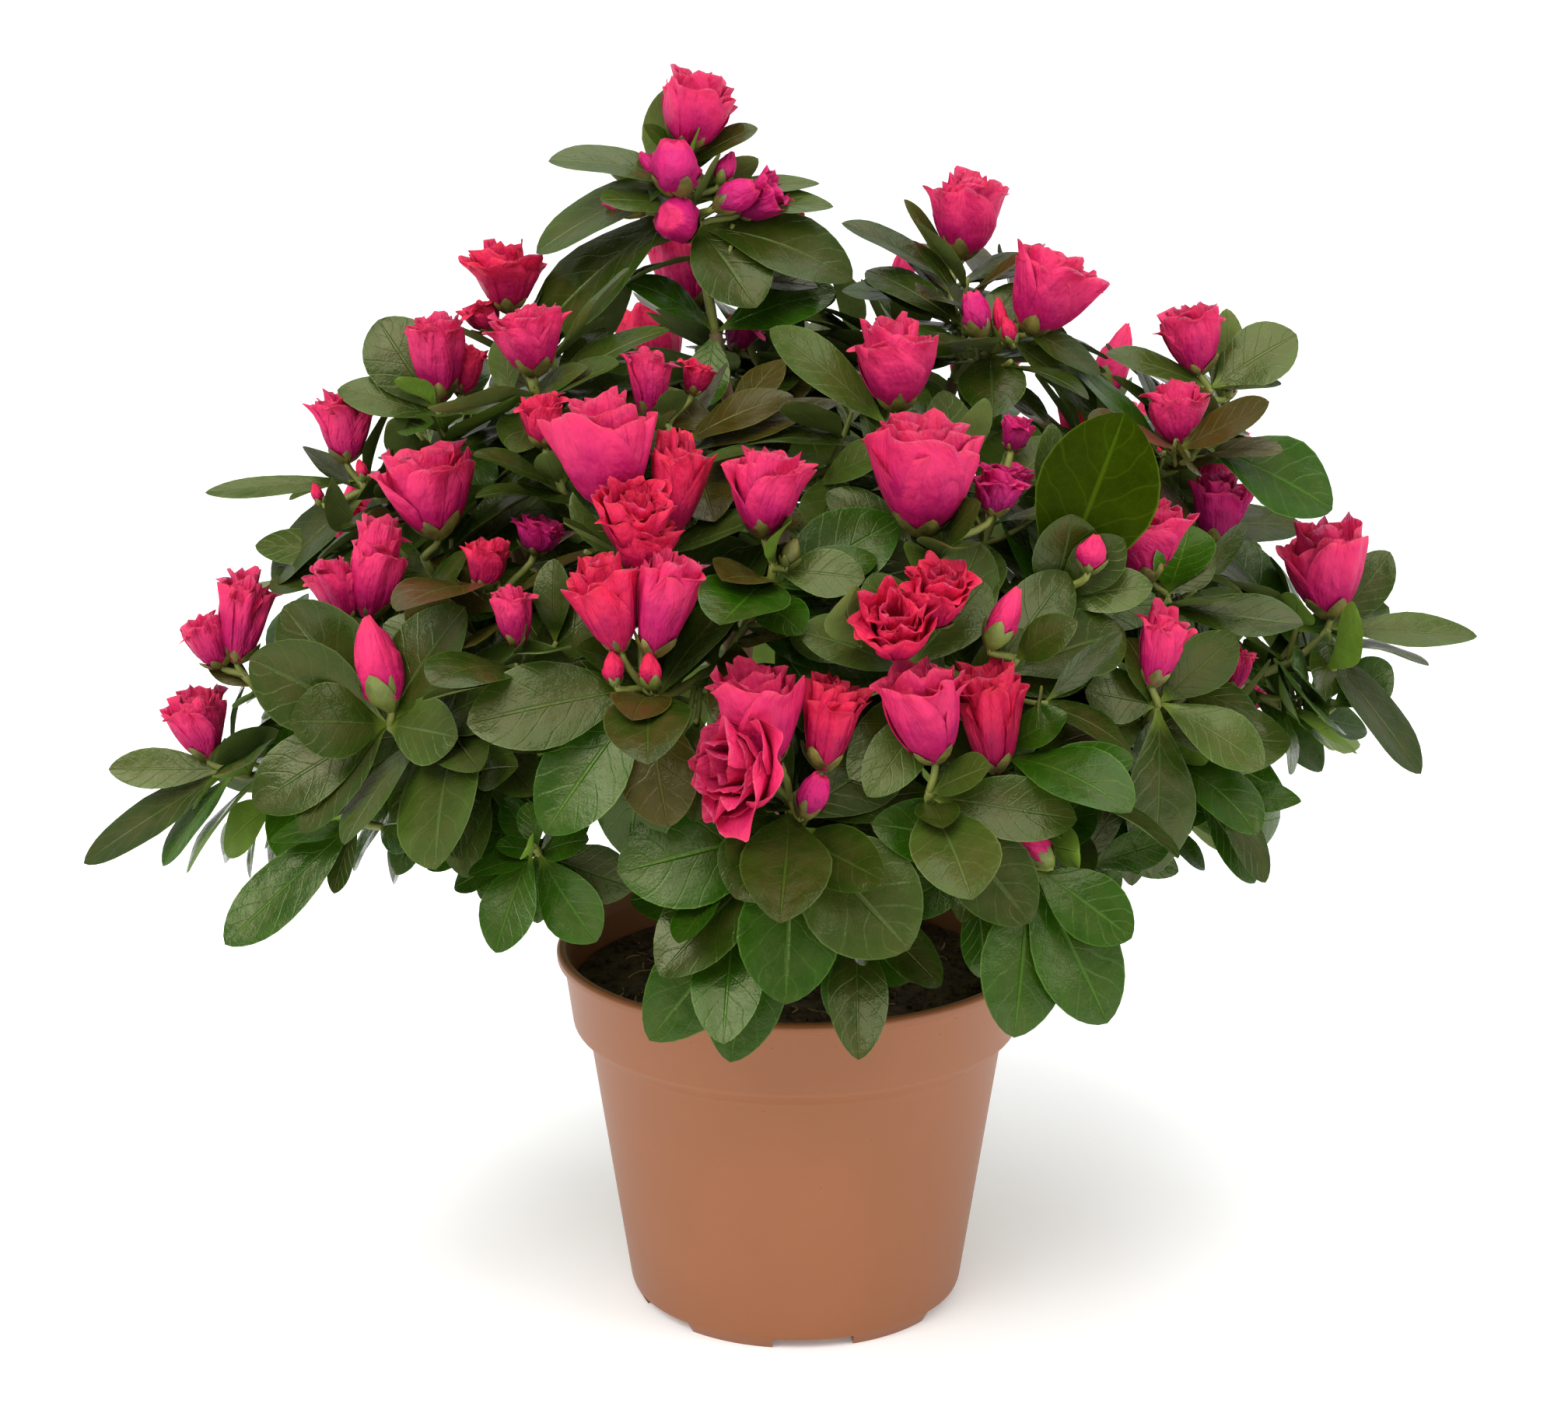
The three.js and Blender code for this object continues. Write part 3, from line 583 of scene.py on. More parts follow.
FRONT_MASSES = [              # name, turn, reach, height, spread, spin, blooms
    ("leader", 180, 26, 285, 0, 0, ["open"]),
    ("upper_right", -2, 46, 257, 16, 33, ["open", "open"]),
    ("upper_left", -164, 67, 243, 18, -8, ["open", "pair"]),
    ("top_front", -96, 45, 234, 26, 0, ["open", "bud"]),
    ("right_shoulder", -7, 100, 228, 11, 40, ["open", "open"]),
    ("left_shoulder", -172, 96, 222, 14, 74, ["pair", "open"]),
    ("centre_left", -124, 82, 217, 15, -27, ["trio", "open"]),
    ("centre_right", -55, 81, 211, 18, 60, ["open", "open", "bud"]),
    ("left", -161, 101, 200, 21, 12, ["open", "leaves"]),
    ("right", -20, 100, 197, 18, 10, ["open", "open"]),
    ("centre", -102, 94, 197, 20, 51, ["open", "pair"]),
    ("centre_low", -69, 102, 189, 12, 180, ["pair", "bud"]),
    ("left_front", -137, 110, 185, 20, 0, ["bud", "bud", "pair", "bud"]),
    ("far_right", -5, 128, 168, 13, 100, ["open", "leaves"]),
    ("right_front", -32, 109, 166, 17, 34, ["open", "open", "leaves"]),
    ("front_right", -66, 109, 160, 17, 50, ["open", "open", "bud"]),
    ("far_left", -173, 137, 154, 12, 95, ["pair", "open"]),
    ("front", -91, 104, 141, 19, 90, ["trio", "leaves", "leaves"]),
    ("low_left", -142, 112, 160, 27, 45, ["leaves"] * 4),
    ("low_right", -42, 104, 147, 23, 30, ["leaves"] * 3),
]
BACK_TIERS = [                # name, turns, reach, height, spread, shoots
    ("back_top", [90], 42, 244, 26, 5),
    ("back_middle", [25, 68, 112, 155], 98, 200, 24, 4),
    ("back_low", [35, 85, 135], 120, 157, 33, 6),
]
BACK_BLOOMS = ["open", "pair", "bud", "open", "leaves"]
LONG_STEMS = {"leader": 52}
NUDGES = {                    # how far a shoot's tip stands off its place on the crown's rounded face
    ("right_shoulder", 0): (4, 0, 0), ("right_shoulder", 1): (-8, 0, 0), ("back_top", 1): (-12, 4, -8),
    ("low_right", 2): (-13, -8, 5), ("low_left", 3): (20, -8, 5), ("front", 1): (3, 10, 3),
    ("front", 2): (0, 12, -3), ("left_front", 0): (5, 0, 3), ("left_front", 1): (5, 0, 0),
    ("left_front", 3): (-5, 0, 4), ("far_right", 0): (5, 0, -4), ("front_right", 0): (-6, 0, -3),
    ("centre_low", 0): (-2, 0, 4), ("right", 1): (-4, 0, 0),
}


def seeded(seed):
    """The source's own chance: the same numbers each time for the same seed."""
    word = 0xFFFFFFFF
    state = ((seed + 1) * 0x9E3779B1) & word

    def draw():
        nonlocal state
        state = (state + 0x6D2B79F5) & word
        mix = ((state ^ (state >> 15)) * (1 | state)) & word
        mix = (mix + (((mix ^ (mix >> 7)) * (61 | mix)) & word)) & word ^ mix
        return (mix ^ (mix >> 14)) / (word + 1)

    return draw


class Swing:
    """A smooth curve that leaves one place in one direction and arrives at another in another."""

    def __init__(self, start, leave, end, arrive):
        pull = np.linalg.norm(end - start) * BOUGH_BEND
        self.knots = (start, start + leave * pull, end - arrive * pull, end)
        self.length = np.linalg.norm(np.diff(self.at(np.linspace(0, 1, 201)), axis=0), axis=1).sum()

    def at(self, share):
        """The place at a share of the curve, or the places at several."""
        share = np.asarray(share, float)[..., None]
        rest = 1 - share
        a, b, c, d = self.knots
        return rest ** 3 * a + 3 * rest ** 2 * share * b + 3 * rest * share ** 2 * c + share ** 3 * d

    def heading(self, share):
        """The way the curve runs at a share of it."""
        return unit(self.at(min(share + 1e-4, 1)) - self.at(max(share - 1e-4, 0)))

    def down(self, distance):
        """The share of the curve that is this far back from its end."""
        return max(0.0, 1 - distance / self.length)


def tilted(axis, tilt, turn):
    """A direction tilted off an axis by some degrees, towards a turn round it."""
    side = np.array([-axis[1], axis[0], 0])
    side = unit(side) if side.dot(side) > 1e-4 else np.array([0, 1.0, 0])
    turned = side * math.cos(math.radians(turn)) + np.cross(axis, side) * math.sin(math.radians(turn))
    return axis * math.cos(math.radians(tilt)) + turned * math.sin(math.radians(tilt))


def outward(place):
    """The way out of the crown's heart at a place."""
    return unit(place - CROWN_HEART)


def fan_out(row, index):
    """A mass with its shoots, which fan out on the crown's rounded face round its place."""
    name, turn, reach, height, spread, spin, blooms = row
    angle = math.radians(turn)
    centre = np.array([reach * math.cos(angle), reach * math.sin(angle), height])
    out = outward(centre)
    level = np.array([-math.sin(angle), math.cos(angle), 0])
    upslope = np.cross(out, level)
    radius = np.linalg.norm(centre - CROWN_HEART)
    in_ring = len(blooms) - (1 if len(blooms) > 4 else 0)
    shoots = []
    for number, bloom in enumerate(blooms):
        fan = math.radians(spin + number * 360 / in_ring)
        aside = spread if number < in_ring else 0
        place = centre + level * aside * math.cos(fan) + upslope * aside * math.sin(fan)
        tip = CROWN_HEART + outward(place) * radius
        lean = unit(outward(tip) * SHOOT_LEAN + np.array([0, 0, 1 - SHOOT_LEAN]))
        shoots.append({
            "name": (name, number), "bloom": bloom, "tip": tip + NUDGES.get((name, number), (0, 0, 0)),
            "lean": lean, "out": outward(tip), "chance": seeded(index * SHOOT_SEEDS + number),
        })
    base = centre - out * LONG_STEMS.get(name, STEM_LENGTH)
    return {"base": base, "out": out, "shoots": shoots}


rows = list(FRONT_MASSES)
for tier_number, (name, turns, reach, height, spread, shoots) in enumerate(BACK_TIERS):
    for number, turn in enumerate(turns):
        blooms = [BACK_BLOOMS[(k + number + tier_number) % len(BACK_BLOOMS)] for k in range(shoots)]
        title = f"{name}_{number + 1}" if len(turns) > 1 else name
        rows.append((title, turn, reach, height, spread, 40 * number, blooms))
rows.sort(key=lambda row: row[3])
masses = [fan_out(row, index) for index, row in enumerate(rows)]

foot = np.array([0, 0, SOIL_TOP + GAP])
head = np.array([TRUNK_LEAN[0], TRUNK_LEAN[1], foot[2] + TRUNK_HEIGHT])


def trunk_radius(share, angle=0):
    """The trunk's radius: it flares to its foot, in lobes where its roots spread."""
    flare = (1 - share) ** 3
    lobe = 1 + FLARE_LOBE_SHARE * flare * np.cos(FLARE_LOBES * angle)
    return (TRUNK_TOP_RADIUS + (TRUNK_BASE_RADIUS - TRUNK_TOP_RADIUS) * flare) * lobe


def taper(start, end):
    """The radius of a bough, even round it and thinner to its tip."""
    return lambda share, angle=0: start + (end - start) * share


trunk_curve = Swing(foot, np.array([0, 0, 1.0]), head, unit(head - foot))
limbs = [{"curve": trunk_curve, "radius": trunk_radius, "travel": 0}]


def grow_bough(mass):
    """The bough of a mass leaves the limb that makes its way from the trunk shortest."""
    best = None
    for limb in limbs:
        for share in LEAVES_SHARES:
            start = limb["curve"].at(share)
            way = mass["base"] - start
            length = np.linalg.norm(way)
            way = way / length
            along = limb["curve"].heading(share)
            travel = limb["travel"] + limb["curve"].length * share
            cost = length + travel * TRAVEL_COST
            if way[2] > LEAST_RISE and way.dot(along) > LEAST_RISE and (best is None or cost < best[0]):
                best = (cost, limb, share, start, way, along, travel)
    _, limb, share, start, way, along, travel = best
    root = min(BOUGH_ROOT_RADIUS, limb["radius"](share) * BOUGH_SHARE)
    curve = Swing(start, unit(way + along), mass["base"], mass["out"])
    limbs.append({"curve": curve, "radius": taper(root, BOUGH_TIP_RADIUS), "travel": travel})
    mass["heading"] = curve.heading(1)


for mass in masses:
    grow_bough(mass)


def bark_tube(limb, sides):
    """The rings of a limb with the ridges and hollows of its bark."""
    length = limb["curve"].length
    shares = np.linspace(0, 1, max(BARK_LEAST_STEPS, round(length / BARK_STEP)) + 1)
    path = limb["curve"].at(shares)
    angles = np.arange(sides) * 2 * np.pi / sides

    def radius(share, angle):
        place = (BARK_RIDGES * math.cos(angle), BARK_RIDGES * math.sin(angle), share * length / BARK_RUN)
        return limb["radius"](share, angle) * (1 + BARK_RELIEF * noise.noise(Vector(place) + Vector(path[0])))

    radii = np.array([[radius(share, angle) for angle in angles] for share in shares])
    return sweep(path, radii, sides), path[0], path[-1]


def boxed(points, faces):
    """A simple surface with its box, for keeping leaves clear of it."""
    return points.min(axis=0), points.max(axis=0), BVHTree.FromPolygons(points.tolist(), faces)


bark = natural_material(
    "azalea_bark", (122, 88, 68), 0.85, 260, 0.45, (900, 6), (0.0006, 0.8), stretch=(1, 1, 0.25),
)
trunk_bark, bough_bark = Batch(), Batch()
limb_trees = []
for number, limb in enumerate(limbs):
    grid, first, last = bark_tube(limb, 2 * BARK_SIDES if number == 0 else BARK_SIDES)
    add_tube(bough_bark if number else trunk_bark, grid, first, last)
    every_other = grid[::2]
    around, _, _ = tube_faces(len(every_other), grid.shape[1])
    points = np.concatenate([[first], every_other.reshape(-1, 3), [last]])
    limb_trees.append(boxed(points, around.reshape(-1, 4).tolist()))
node_names = sorted(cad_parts)
for piece, nodes in (
    (trunk_bark.make("trunk_bark", [bark]), ["trunk"]),
    (bough_bark.make("bough_bark", [bark]), [name for name in node_names if name.startswith("bough_")]),
):
    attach(piece, "root")
    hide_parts(*nodes)

# Twigs: from each bough's tip a short green-brown stem branches to the shoots, and each shoot has
# shorter side twigs. They are this year's soft wood, green and thinly haired.

STEM_SHARED = 12              # length that all shoots of a mass have in common
STEM_END_RADIUS = 1.6
TWIG_STEP = 1.8               # from one shoot's root to the next
TWIG_ROOT_RADIUS, TWIG_TIP_RADIUS = 1.2, 1.0
TWIG_SIDES, TWIG_RINGS, STEM_RINGS = 6, 12, 5
SCAR_SWELLING, SCAR_WAVE = 0.1, 1.1         # how thick leaf scars are, and how close together
OUTWARD_TURN = -90            # as tilted() counts it, away from the crown's heart
SHOOT_TURN_CHANCE = 50
GREEN_WOOD, BROWN_WOOD = 0, 1

twigs = Batch()
twig_skins = [
    natural_material("green_wood", (112, 118, 48), 0.6, 240, 0.25, (2200, 2), (0.0002, 0.6)),
    natural_material("brown_wood", (104, 84, 52), 0.75, 260, 0.35, (1300, 4), (0.0003, 0.7)),
]


def add_twig(curve, start, end, paint, rings=TWIG_RINGS):
    """A twig along a curve, with a slight swelling at each leaf scar."""
    shares = np.linspace(0, 1, rings)
    swell = 1 + SCAR_SWELLING * np.sin(shares * curve.length * SCAR_WAVE)
    path = curve.at(shares)
    radii = (start + (end - start) * shares) * swell
    add_tube(twigs, sweep(path, radii, TWIG_SIDES), path[0], path[-1], paint)


shoots = []
for mass in masses:
    base, heading = mass["base"], mass["heading"]
    stem = Swing(base + heading * GAP, heading, base + heading * STEM_SHARED, heading)
    add_twig(stem, BOUGH_TIP_RADIUS, STEM_END_RADIUS, BROWN_WOOD, STEM_RINGS)
    for number, shoot in enumerate(mass["shoots"]):
        root = base + heading * (STEM_SHARED - TWIG_STEP * (number + 1))
        shoot["curve"] = Swing(root, heading, shoot["tip"], shoot["lean"])
        shoot["chance"]()     # the source draws the angle of the twig's corners here
        shoot["turn"] = OUTWARD_TURN + SHOOT_TURN_CHANCE * (shoot["chance"]() - 0.5)
        add_twig(shoot["curve"], TWIG_ROOT_RADIUS, TWIG_TIP_RADIUS, GREEN_WOOD)
        shoots.append(shoot)

# Blossom: each shoot ends in one to three double flowers of ruffled petals that stand half open like
# small roses, or in furled buds. Each sits in a few cream to brown scales on a short stalk.

WHORLS = [                    # petals, cup's width and height, petal's width (all as shares), rows, columns
    (5, 1.0, 0.97, 1.1, 9, 23),
    (4, 0.78, 1.06, 0.95, 7, 15),
    (3, 0.54, 1.09, 0.8, 6, 11),
    (2, 0.3, 1.06, 0.6, 5, 7),
]
SMALL_FLOWER = 12             # width up to which a flower has only its two outer whorls
FOOT_REACH = 1.8              # how far petals stand off the axis at a flower's foot
CUP_CURVE = 0.72              # below 1, a cup is full near its foot
ROWS_CURVE = 0.72             # below 1, the rows of a petal lie closer together near its rim
PETAL_THICKNESS = 0.25
PETAL_FOOT = 0.35             # of its full breadth, reached halfway up
RIM_MIDDLE, RIM_CORNER = 0.97, 0.14         # how high a rim stands, and how far its corners drop
STIFF_CORNERS = 0.7           # how much less a lip turns out at its corners
LIP_WAVE, LIP_WAVE_TURNS = 0.8, 1.4
EDGE_FROM, EDGE_NARROWING = 0.6, 0.2        # where a petal's edge starts to ruffle, and how it narrows
ROLLED_RIM, ROLLED_SIDE = 0.3, 0.5          # one side of a petal lies over the next
RIM_CRIMP, EDGE_CRIMP = 0.005, 0.06
PETAL_LEANS = (-0.1, 0.08)
PETAL_TURNS, PETAL_REACHES = (-12, 12), (0.92, 1.06)
PETAL_HEIGHTS, PETAL_BREADTHS, LIP_CHANCES = (0.78, 1.0), (0.92, 1.1), (0.1, 1.7)
SCALLOP = ((0.035, 1.6), (0.02, 3.2))       # waves of a petal's rim: strength, and half turns across it
FOLD = ((0.6, 2.1), (0.4, 3.4))             # of its face
FRILL = ((0.9, 1.9), (0.45, 3.5))           # of its edge
LIPS = {                      # where a petal's lip starts to turn out, and how far it turns
    "cup": (0.76, 1.7), "tube": (0.84, 1.7), "fan": (0.4, 4.6),
}
STANDS_BACK = 6               # degrees that a flower's mouth is turned from the viewer
BUD_TOPS = {"fat bud": 0.86, "bud": 0.97}
BUD_SIDES, BUD_RINGS = 14, 10
SCALES = 5
SCALE_SPREADS, SCALE_TURNS, SCALE_SIZES = (0.95, 1.1), (-20, 20), (0.65, 1.15)
SCALE_WIDTH = 0.52            # of its length
STALK, STALK_RINGS, STALK_RADII = 2.5, 6, (0.95, 0.8)
BACK_FROM = 15                # millimetres behind the pot's middle
BACK_TONES = (0.5, 0.35, 0.15)              # the chance of each of the first three tones
BACK_TILTS, BACK_HEIGHTS, BACK_WIDTHS, BACK_BUD_WIDTH = (-4, 8), (15, 23), (0.7, 1.0), 0.4
HULL_SIDES, HULL_FOOT = 8, 1.6              # of the simple cup that leaves keep clear of
BACK_FLOWERS = {              # tilt and turn of each flower that a shoot at the back ends in
    "open": [(0, 0)], "pair": [(24, 0), (24, 180)], "trio": [(32, 0), (32, 120), (32, 240)],
    "bud": [(0, 0)], "leaves": [],
}
FRONT_FLOWERS = {             # form; right, up and front of the shoot's tip; lean, nod; height, width; tone
    ("leader", 0): [
        ("cup", 0, 4, 0, 15, 0, 18, 19, "rose"), ("fat bud", -2, -6, 8, 0, 10, 13, 12, "magenta"),
        ("fat bud", 0, -13, 3, -57, 70, 12, 11, "magenta"),
        ("fat bud", 7, -9, 6, 61, 10, 11, 8, "magenta"), ("cup", 13, -11, 0, 55, 20, 13, 11, "magenta"),
        ("cup", 19, -14, -8, 64, 0, 10, 10, "red"), ("fat bud", -10, -10, 4, -72, 0, 10, 5, "magenta"),
        ("bud", -6, -3, 1, -35, 0, 8, 5, "magenta"), ("bud", 8, -4, 1, 19, 0, 8, 5, "magenta"),
    ],
    ("upper_right", 0): [("cup", 2, 3, 0, 7, 0, 21, 20, "rose")],
    ("upper_right", 1): [
        ("cup", 1, -5, 0, 26, 0, 20, 21, "rose"), ("fat bud", -10, -6, 2, -15, 0, 11, 7, "magenta"),
        ("bud", -5, -7, 0, -5, 0, 10, 4, "red"), ("bud", -3, -7, 3, -19, 0, 6, 4, "red"),
    ],
    ("top_front", 0): [("cup", 2, 4, 0, -1, 0, 20, 20, "rose")],
    ("top_front", 1): [("tube", -4, 2, 0, 2, 0, 16, 10, "rose"), ("cup", 6, 6, -6, 13, 0, 8, 8, "red")],
    ("right_shoulder", 0): [
        ("cup", -3, 4, 0, -12, 0, 16, 15, "rose"), ("bud", 4, -2, 0, 15, 0, 6, 3, "red"),
    ],
    ("right_shoulder", 1): [("cup", -5, 0, 0, -8, 0, 15, 14, "rose")],
    ("centre_right", 0): [
        ("cup", 0, -5, 0, 7, 0, 9, 11, "magenta"), ("cup", 2, 5, -8, 14, 0, 8, 8, "magenta"),
    ],
    ("centre_right", 1): [
        ("cup", -4, 3, 0, 1, 5, 27, 26, "rose"), ("cup", 12, 6, -8, 12, 0, 10, 12, "magenta"),
    ],
    ("centre_right", 2): [("bud", 5, 5, 4, 8, 0, 8, 7, "rose")],
    ("right", 0): [("cup", 2, -1, 0, 8, 0, 17, 14, "magenta")],
    ("right", 1): [("fan", -4, 4, 2, -8, 0, 18, 23, "rose")],
    ("far_right", 0): [("cup", 0, 3, 0, -6, 0, 23, 21, "rose")],
    ("right_front", 0): [("cup", 5, -5, 0, 10, 0, 10, 8, "rose")],
    ("right_front", 1): [("tube", -2, 5, 2, 13, 0, 18, 11, "rose")],
    ("centre", 0): [("cup", -2, 6, 0, 0, 0, 19, 17, "rose"), ("bud", 3, 0, 3, 16, 0, 6, 4, "green")],
    ("centre", 1): [
        ("tube", -5, 9, 2, -13, 5, 21, 15, "red"), ("tube", 2, 8, 2, 12, 5, 23, 15, "rose"),
        ("cup", 0, 23, -6, 2, 0, 13, 14, "red"), ("bud", -6, 2, 4, -8, 0, 7, 5, "red"),
        ("bud", 2, 1, 5, -4, 0, 8, 5, "red"),
    ],
    ("centre_low", 0): [
        ("cup", -2, 0, 2, -3, 42, 16, 17, "red"), ("cup", 6, 5, -3, 7, 30, 15, 14, "red"),
    ],
    ("centre_low", 1): [("bud", -6, 3, 3, 28, 0, 14, 7, "rose")],
    ("centre_left", 0): [
        ("cup", -3, 7, 0, -8, 0, 25, 23, "rose"), ("tube", 9, 1, -2, 7, 0, 23, 14, "red"),
        ("cup", 2, -1, 8, 1, 28, 17, 16, "red"),
    ],
    ("centre_left", 1): [("cup", -3, 8, 0, -7, 0, 12, 10, "red")],
    ("back_top", 1): [("cup", -3, -4, 0, 22, 0, 9, 9, "magenta")],
    ("upper_left", 0): [("cup", 1, 1, 0, -9, 0, 16, 16, "rose")],
    ("upper_left", 1): [
        ("fan", -2, 8, 0, -3, 0, 16, 19, "red"), ("cup", -7, 3, -2, -19, 0, 7, 10, "red"),
    ],
    ("left_shoulder", 0): [
        ("tube", 1, 1, 0, -4, 0, 21, 14, "rose"), ("cup", 6, 2, -5, 10, 0, 12, 9, "red"),
    ],
    ("left_shoulder", 1): [
        ("cup", -3, 5, 0, -4, 0, 16, 15, "rose"), ("bud", -9, -5, 2, -24, 0, 5, 3, "red"),
        ("bud", 2, 1, 4, -19, 0, 5, 3, "red"),
    ],
    ("left", 0): [("cup", 4, 5, 3, -10, 0, 21, 21, "rose")],
    ("left_front", 0): [("tube", 0, 4, 0, -8, 0, 13, 9, "rose")],
    ("left_front", 1): [
        ("cup", -2, -3, 0, 10, 0, 12, 10, "red"), ("cup", 9, 3, -10, 15, 0, 8, 12, "magenta"),
    ],
    ("left_front", 2): [
        ("tube", -4, 6, 0, 7, 0, 22, 14, "rose"), ("tube", -9, 5, 0, -17, 5, 15, 11, "rose"),
    ],
    ("left_front", 3): [("bud", 1, 4, 2, -17, 0, 21, 11, "rose")],
    ("far_left", 0): [
        ("tube", -1, 3, 0, 7, 0, 22, 14, "rose"), ("cup", -5, 2, 0, -24, 5, 13, 12, "rose"),
    ],
    ("far_left", 1): [("cup", -5, 3, 0, -11, 0, 17, 15, "rose")],
    ("front", 0): [
        ("cup", -5, 8, 3, -8, 8, 24, 19, "rose"), ("cup", 7, 7, 0, 9, 5, 22, 14, "red"),
        ("fan", -3, 8, 5, -75, 40, 18, 24, "rose"), ("fat bud", 3, -2, 6, 25, 0, 10, 7, "magenta"),
    ],
    ("front_right", 0): [("tube", -3, -5, 3, -7, 10, 25, 15, "red")],
    ("front_right", 1): [("cup", 1, 7, 0, -11, 15, 23, 19, "rose")],
    ("front_right", 2): [("bud", 4, 1, 3, -36, 0, 13, 6, "rose")],
}

blossom_chance = np.random.default_rng(31)
TONES = ["rose", "red", "magenta", "green"]
OLIVE_SCALE, GREEN_SCALE = len(TONES), len(TONES) + 1


def shell_faces(rows, columns):
    """The two sides of a thin shell: a grid of points, and a second grid that shares its border."""
    front = np.arange(rows * columns).reshape(rows, columns)
    back = front.copy()
    inner = np.arange((rows - 2) * (columns - 2)).reshape(rows - 2, columns - 2)
    back[1:-1, 1:-1] = rows * columns + inner
    both = [np.stack([grid[:-1, :-1], grid[1:, :-1], grid[1:, 1:], grid[:-1, 1:]], -1).reshape(-1, 4)
            for grid in (front, back)]
    return both[0], both[1][:, ::-1]


def add_shell(batch, grid, thickness, paint):
    """A thin closed shell from a grid of points, thickened away from its front."""
    rows, columns = grid.shape[:2]
    normals = np.cross(np.gradient(grid, axis=0), np.gradient(grid, axis=1))
    normals /= np.linalg.norm(normals, axis=2)[:, :, None] + 1e-9
    behind = (grid - normals * thickness)[1:-1, 1:-1]
    across, along = np.meshgrid(np.linspace(0, 1, columns), np.linspace(0, 1, rows))
    texture = np.stack([across, along], -1)
    rims = np.ones((rows, columns), bool)
    rims[1:-1, 1:-1] = False
    points = np.concatenate([grid.reshape(-1, 3), behind.reshape(-1, 3)])
    places = np.concatenate([texture.reshape(-1, 2), texture[1:-1, 1:-1].reshape(-1, 2)])
    flags = np.concatenate([rims.ravel(), np.zeros(behind.shape[0] * behind.shape[1], bool)])
    batch.add(points, places, flags, [(faces, paint) for faces in shell_faces(rows, columns)])


def axes_on(axis, turn):
    """Two directions square to an axis and to each other, turned round it."""
    first = unit(np.cross(axis, (0.3, 0.9, 0.2)))
    second = np.cross(axis, first)
    angle = math.radians(turn)
    across = first * math.cos(angle) + second * math.sin(angle)
    return across, np.cross(axis, across)


def cup_reach(reach, share):
    """How far a cup's side stands off its axis, by the share of its height."""
    return FOOT_REACH + (reach - FOOT_REACH) * np.sin(np.pi / 2 * np.clip(share, 0, 1) ** CUP_CURVE)


def ruffle(kind, across, starts, wave=np.sin):
    """Waves across a petal, each from its own start."""
    return sum(depth * wave(turns * np.pi * across + start) for (depth, turns), start in zip(kind, starts))


def petal(reach, height, width, lip, rows, columns):
    """A petal's points as turn (radians, 0 at its middle), distance from the flower's axis and height."""
    lip_start, lip_turn = lip
    along = np.linspace(0, 1, rows)[:, None] ** ROWS_CURVE
    across = np.linspace(-1, 1, columns)[None, :]
    corner = np.abs(across) ** 3
    edge = np.maximum(along - EDGE_FROM, 0) / (1 - EDGE_FROM)
    waves = blossom_chance.uniform(0, 2 * np.pi, 6)
    scallop = ruffle(SCALLOP, across, waves[:2]) + blossom_chance.uniform(-RIM_CRIMP, RIM_CRIMP, (1, columns))
    ends = along * (RIM_MIDDLE - RIM_CORNER * corner + scallop * along ** 3)
    turned = np.maximum(ends - lip_start, 0) / (1 - lip_start) * (1 - STIFF_CORNERS * corner)
    wavy = 1 + LIP_WAVE * min(1, 2 / lip_turn) * np.sin(LIP_WAVE_TURNS * np.pi * across + waves[2])
    lean = blossom_chance.uniform(*PETAL_LEANS)
    distance = cup_reach(reach, ends) + lip_turn * wavy * turned ** 1.5 + lean * height * ends
    broad = width / 2 * (PETAL_FOOT + (1 - PETAL_FOOT) * np.sin(np.pi / 2 * np.minimum(along / 0.5, 1)))
    broad = broad * (1 - EDGE_NARROWING * edge ** 2)
    turn = np.clip(across * broad / np.maximum(distance, 2.4), -1.5, 1.5)
    fold = along * ruffle(FOLD, across, waves[3:5], np.cos)
    rolled = along * (ROLLED_RIM * np.abs(across) ** 4 + ROLLED_SIDE * across)
    crimp = blossom_chance.uniform(-EDGE_CRIMP, EDGE_CRIMP, (rows, columns))
    frill = edge ** 1.3 * (ruffle(FRILL, across, waves[[5, 2]]) + crimp)
    scale = min(width / 15, 1.1)
    rise = height * ends - 0.6 * lip_turn * wavy * turned ** 2
    return turn, distance + (fold + rolled + frill) * scale, rise + 0.25 * frill * scale


def add_flower(batch, place, axis, height, width, form, tone):
    """A double flower: whorls of petals round an axis, the outer ones the broadest."""
    chance = blossom_chance.uniform
    lip_start, lip_turn = LIPS[form]
    reach = width * 0.48 - lip_turn * 0.5
    whorls = WHORLS if width > SMALL_FLOWER else WHORLS[:2]
    for whorl, (petals, wide, tall, broad, rows, columns) in enumerate(whorls):
        for number in range(petals):
            across, beside = axes_on(axis, 360 * (number + 0.5 * whorl) / petals + chance(*PETAL_TURNS))
            turn, distance, rise = petal(
                reach * wide * chance(*PETAL_REACHES), height * tall * chance(*PETAL_HEIGHTS),
                width * broad * chance(*PETAL_BREADTHS), (lip_start, lip_turn * chance(*LIP_CHANCES) * wide),
                rows, columns,
            )
            ring = np.cos(turn)[..., None] * across + np.sin(turn)[..., None] * beside
            points = place + ring * distance[..., None] + rise[..., None] * axis
            add_shell(batch, points, PETAL_THICKNESS, tone)


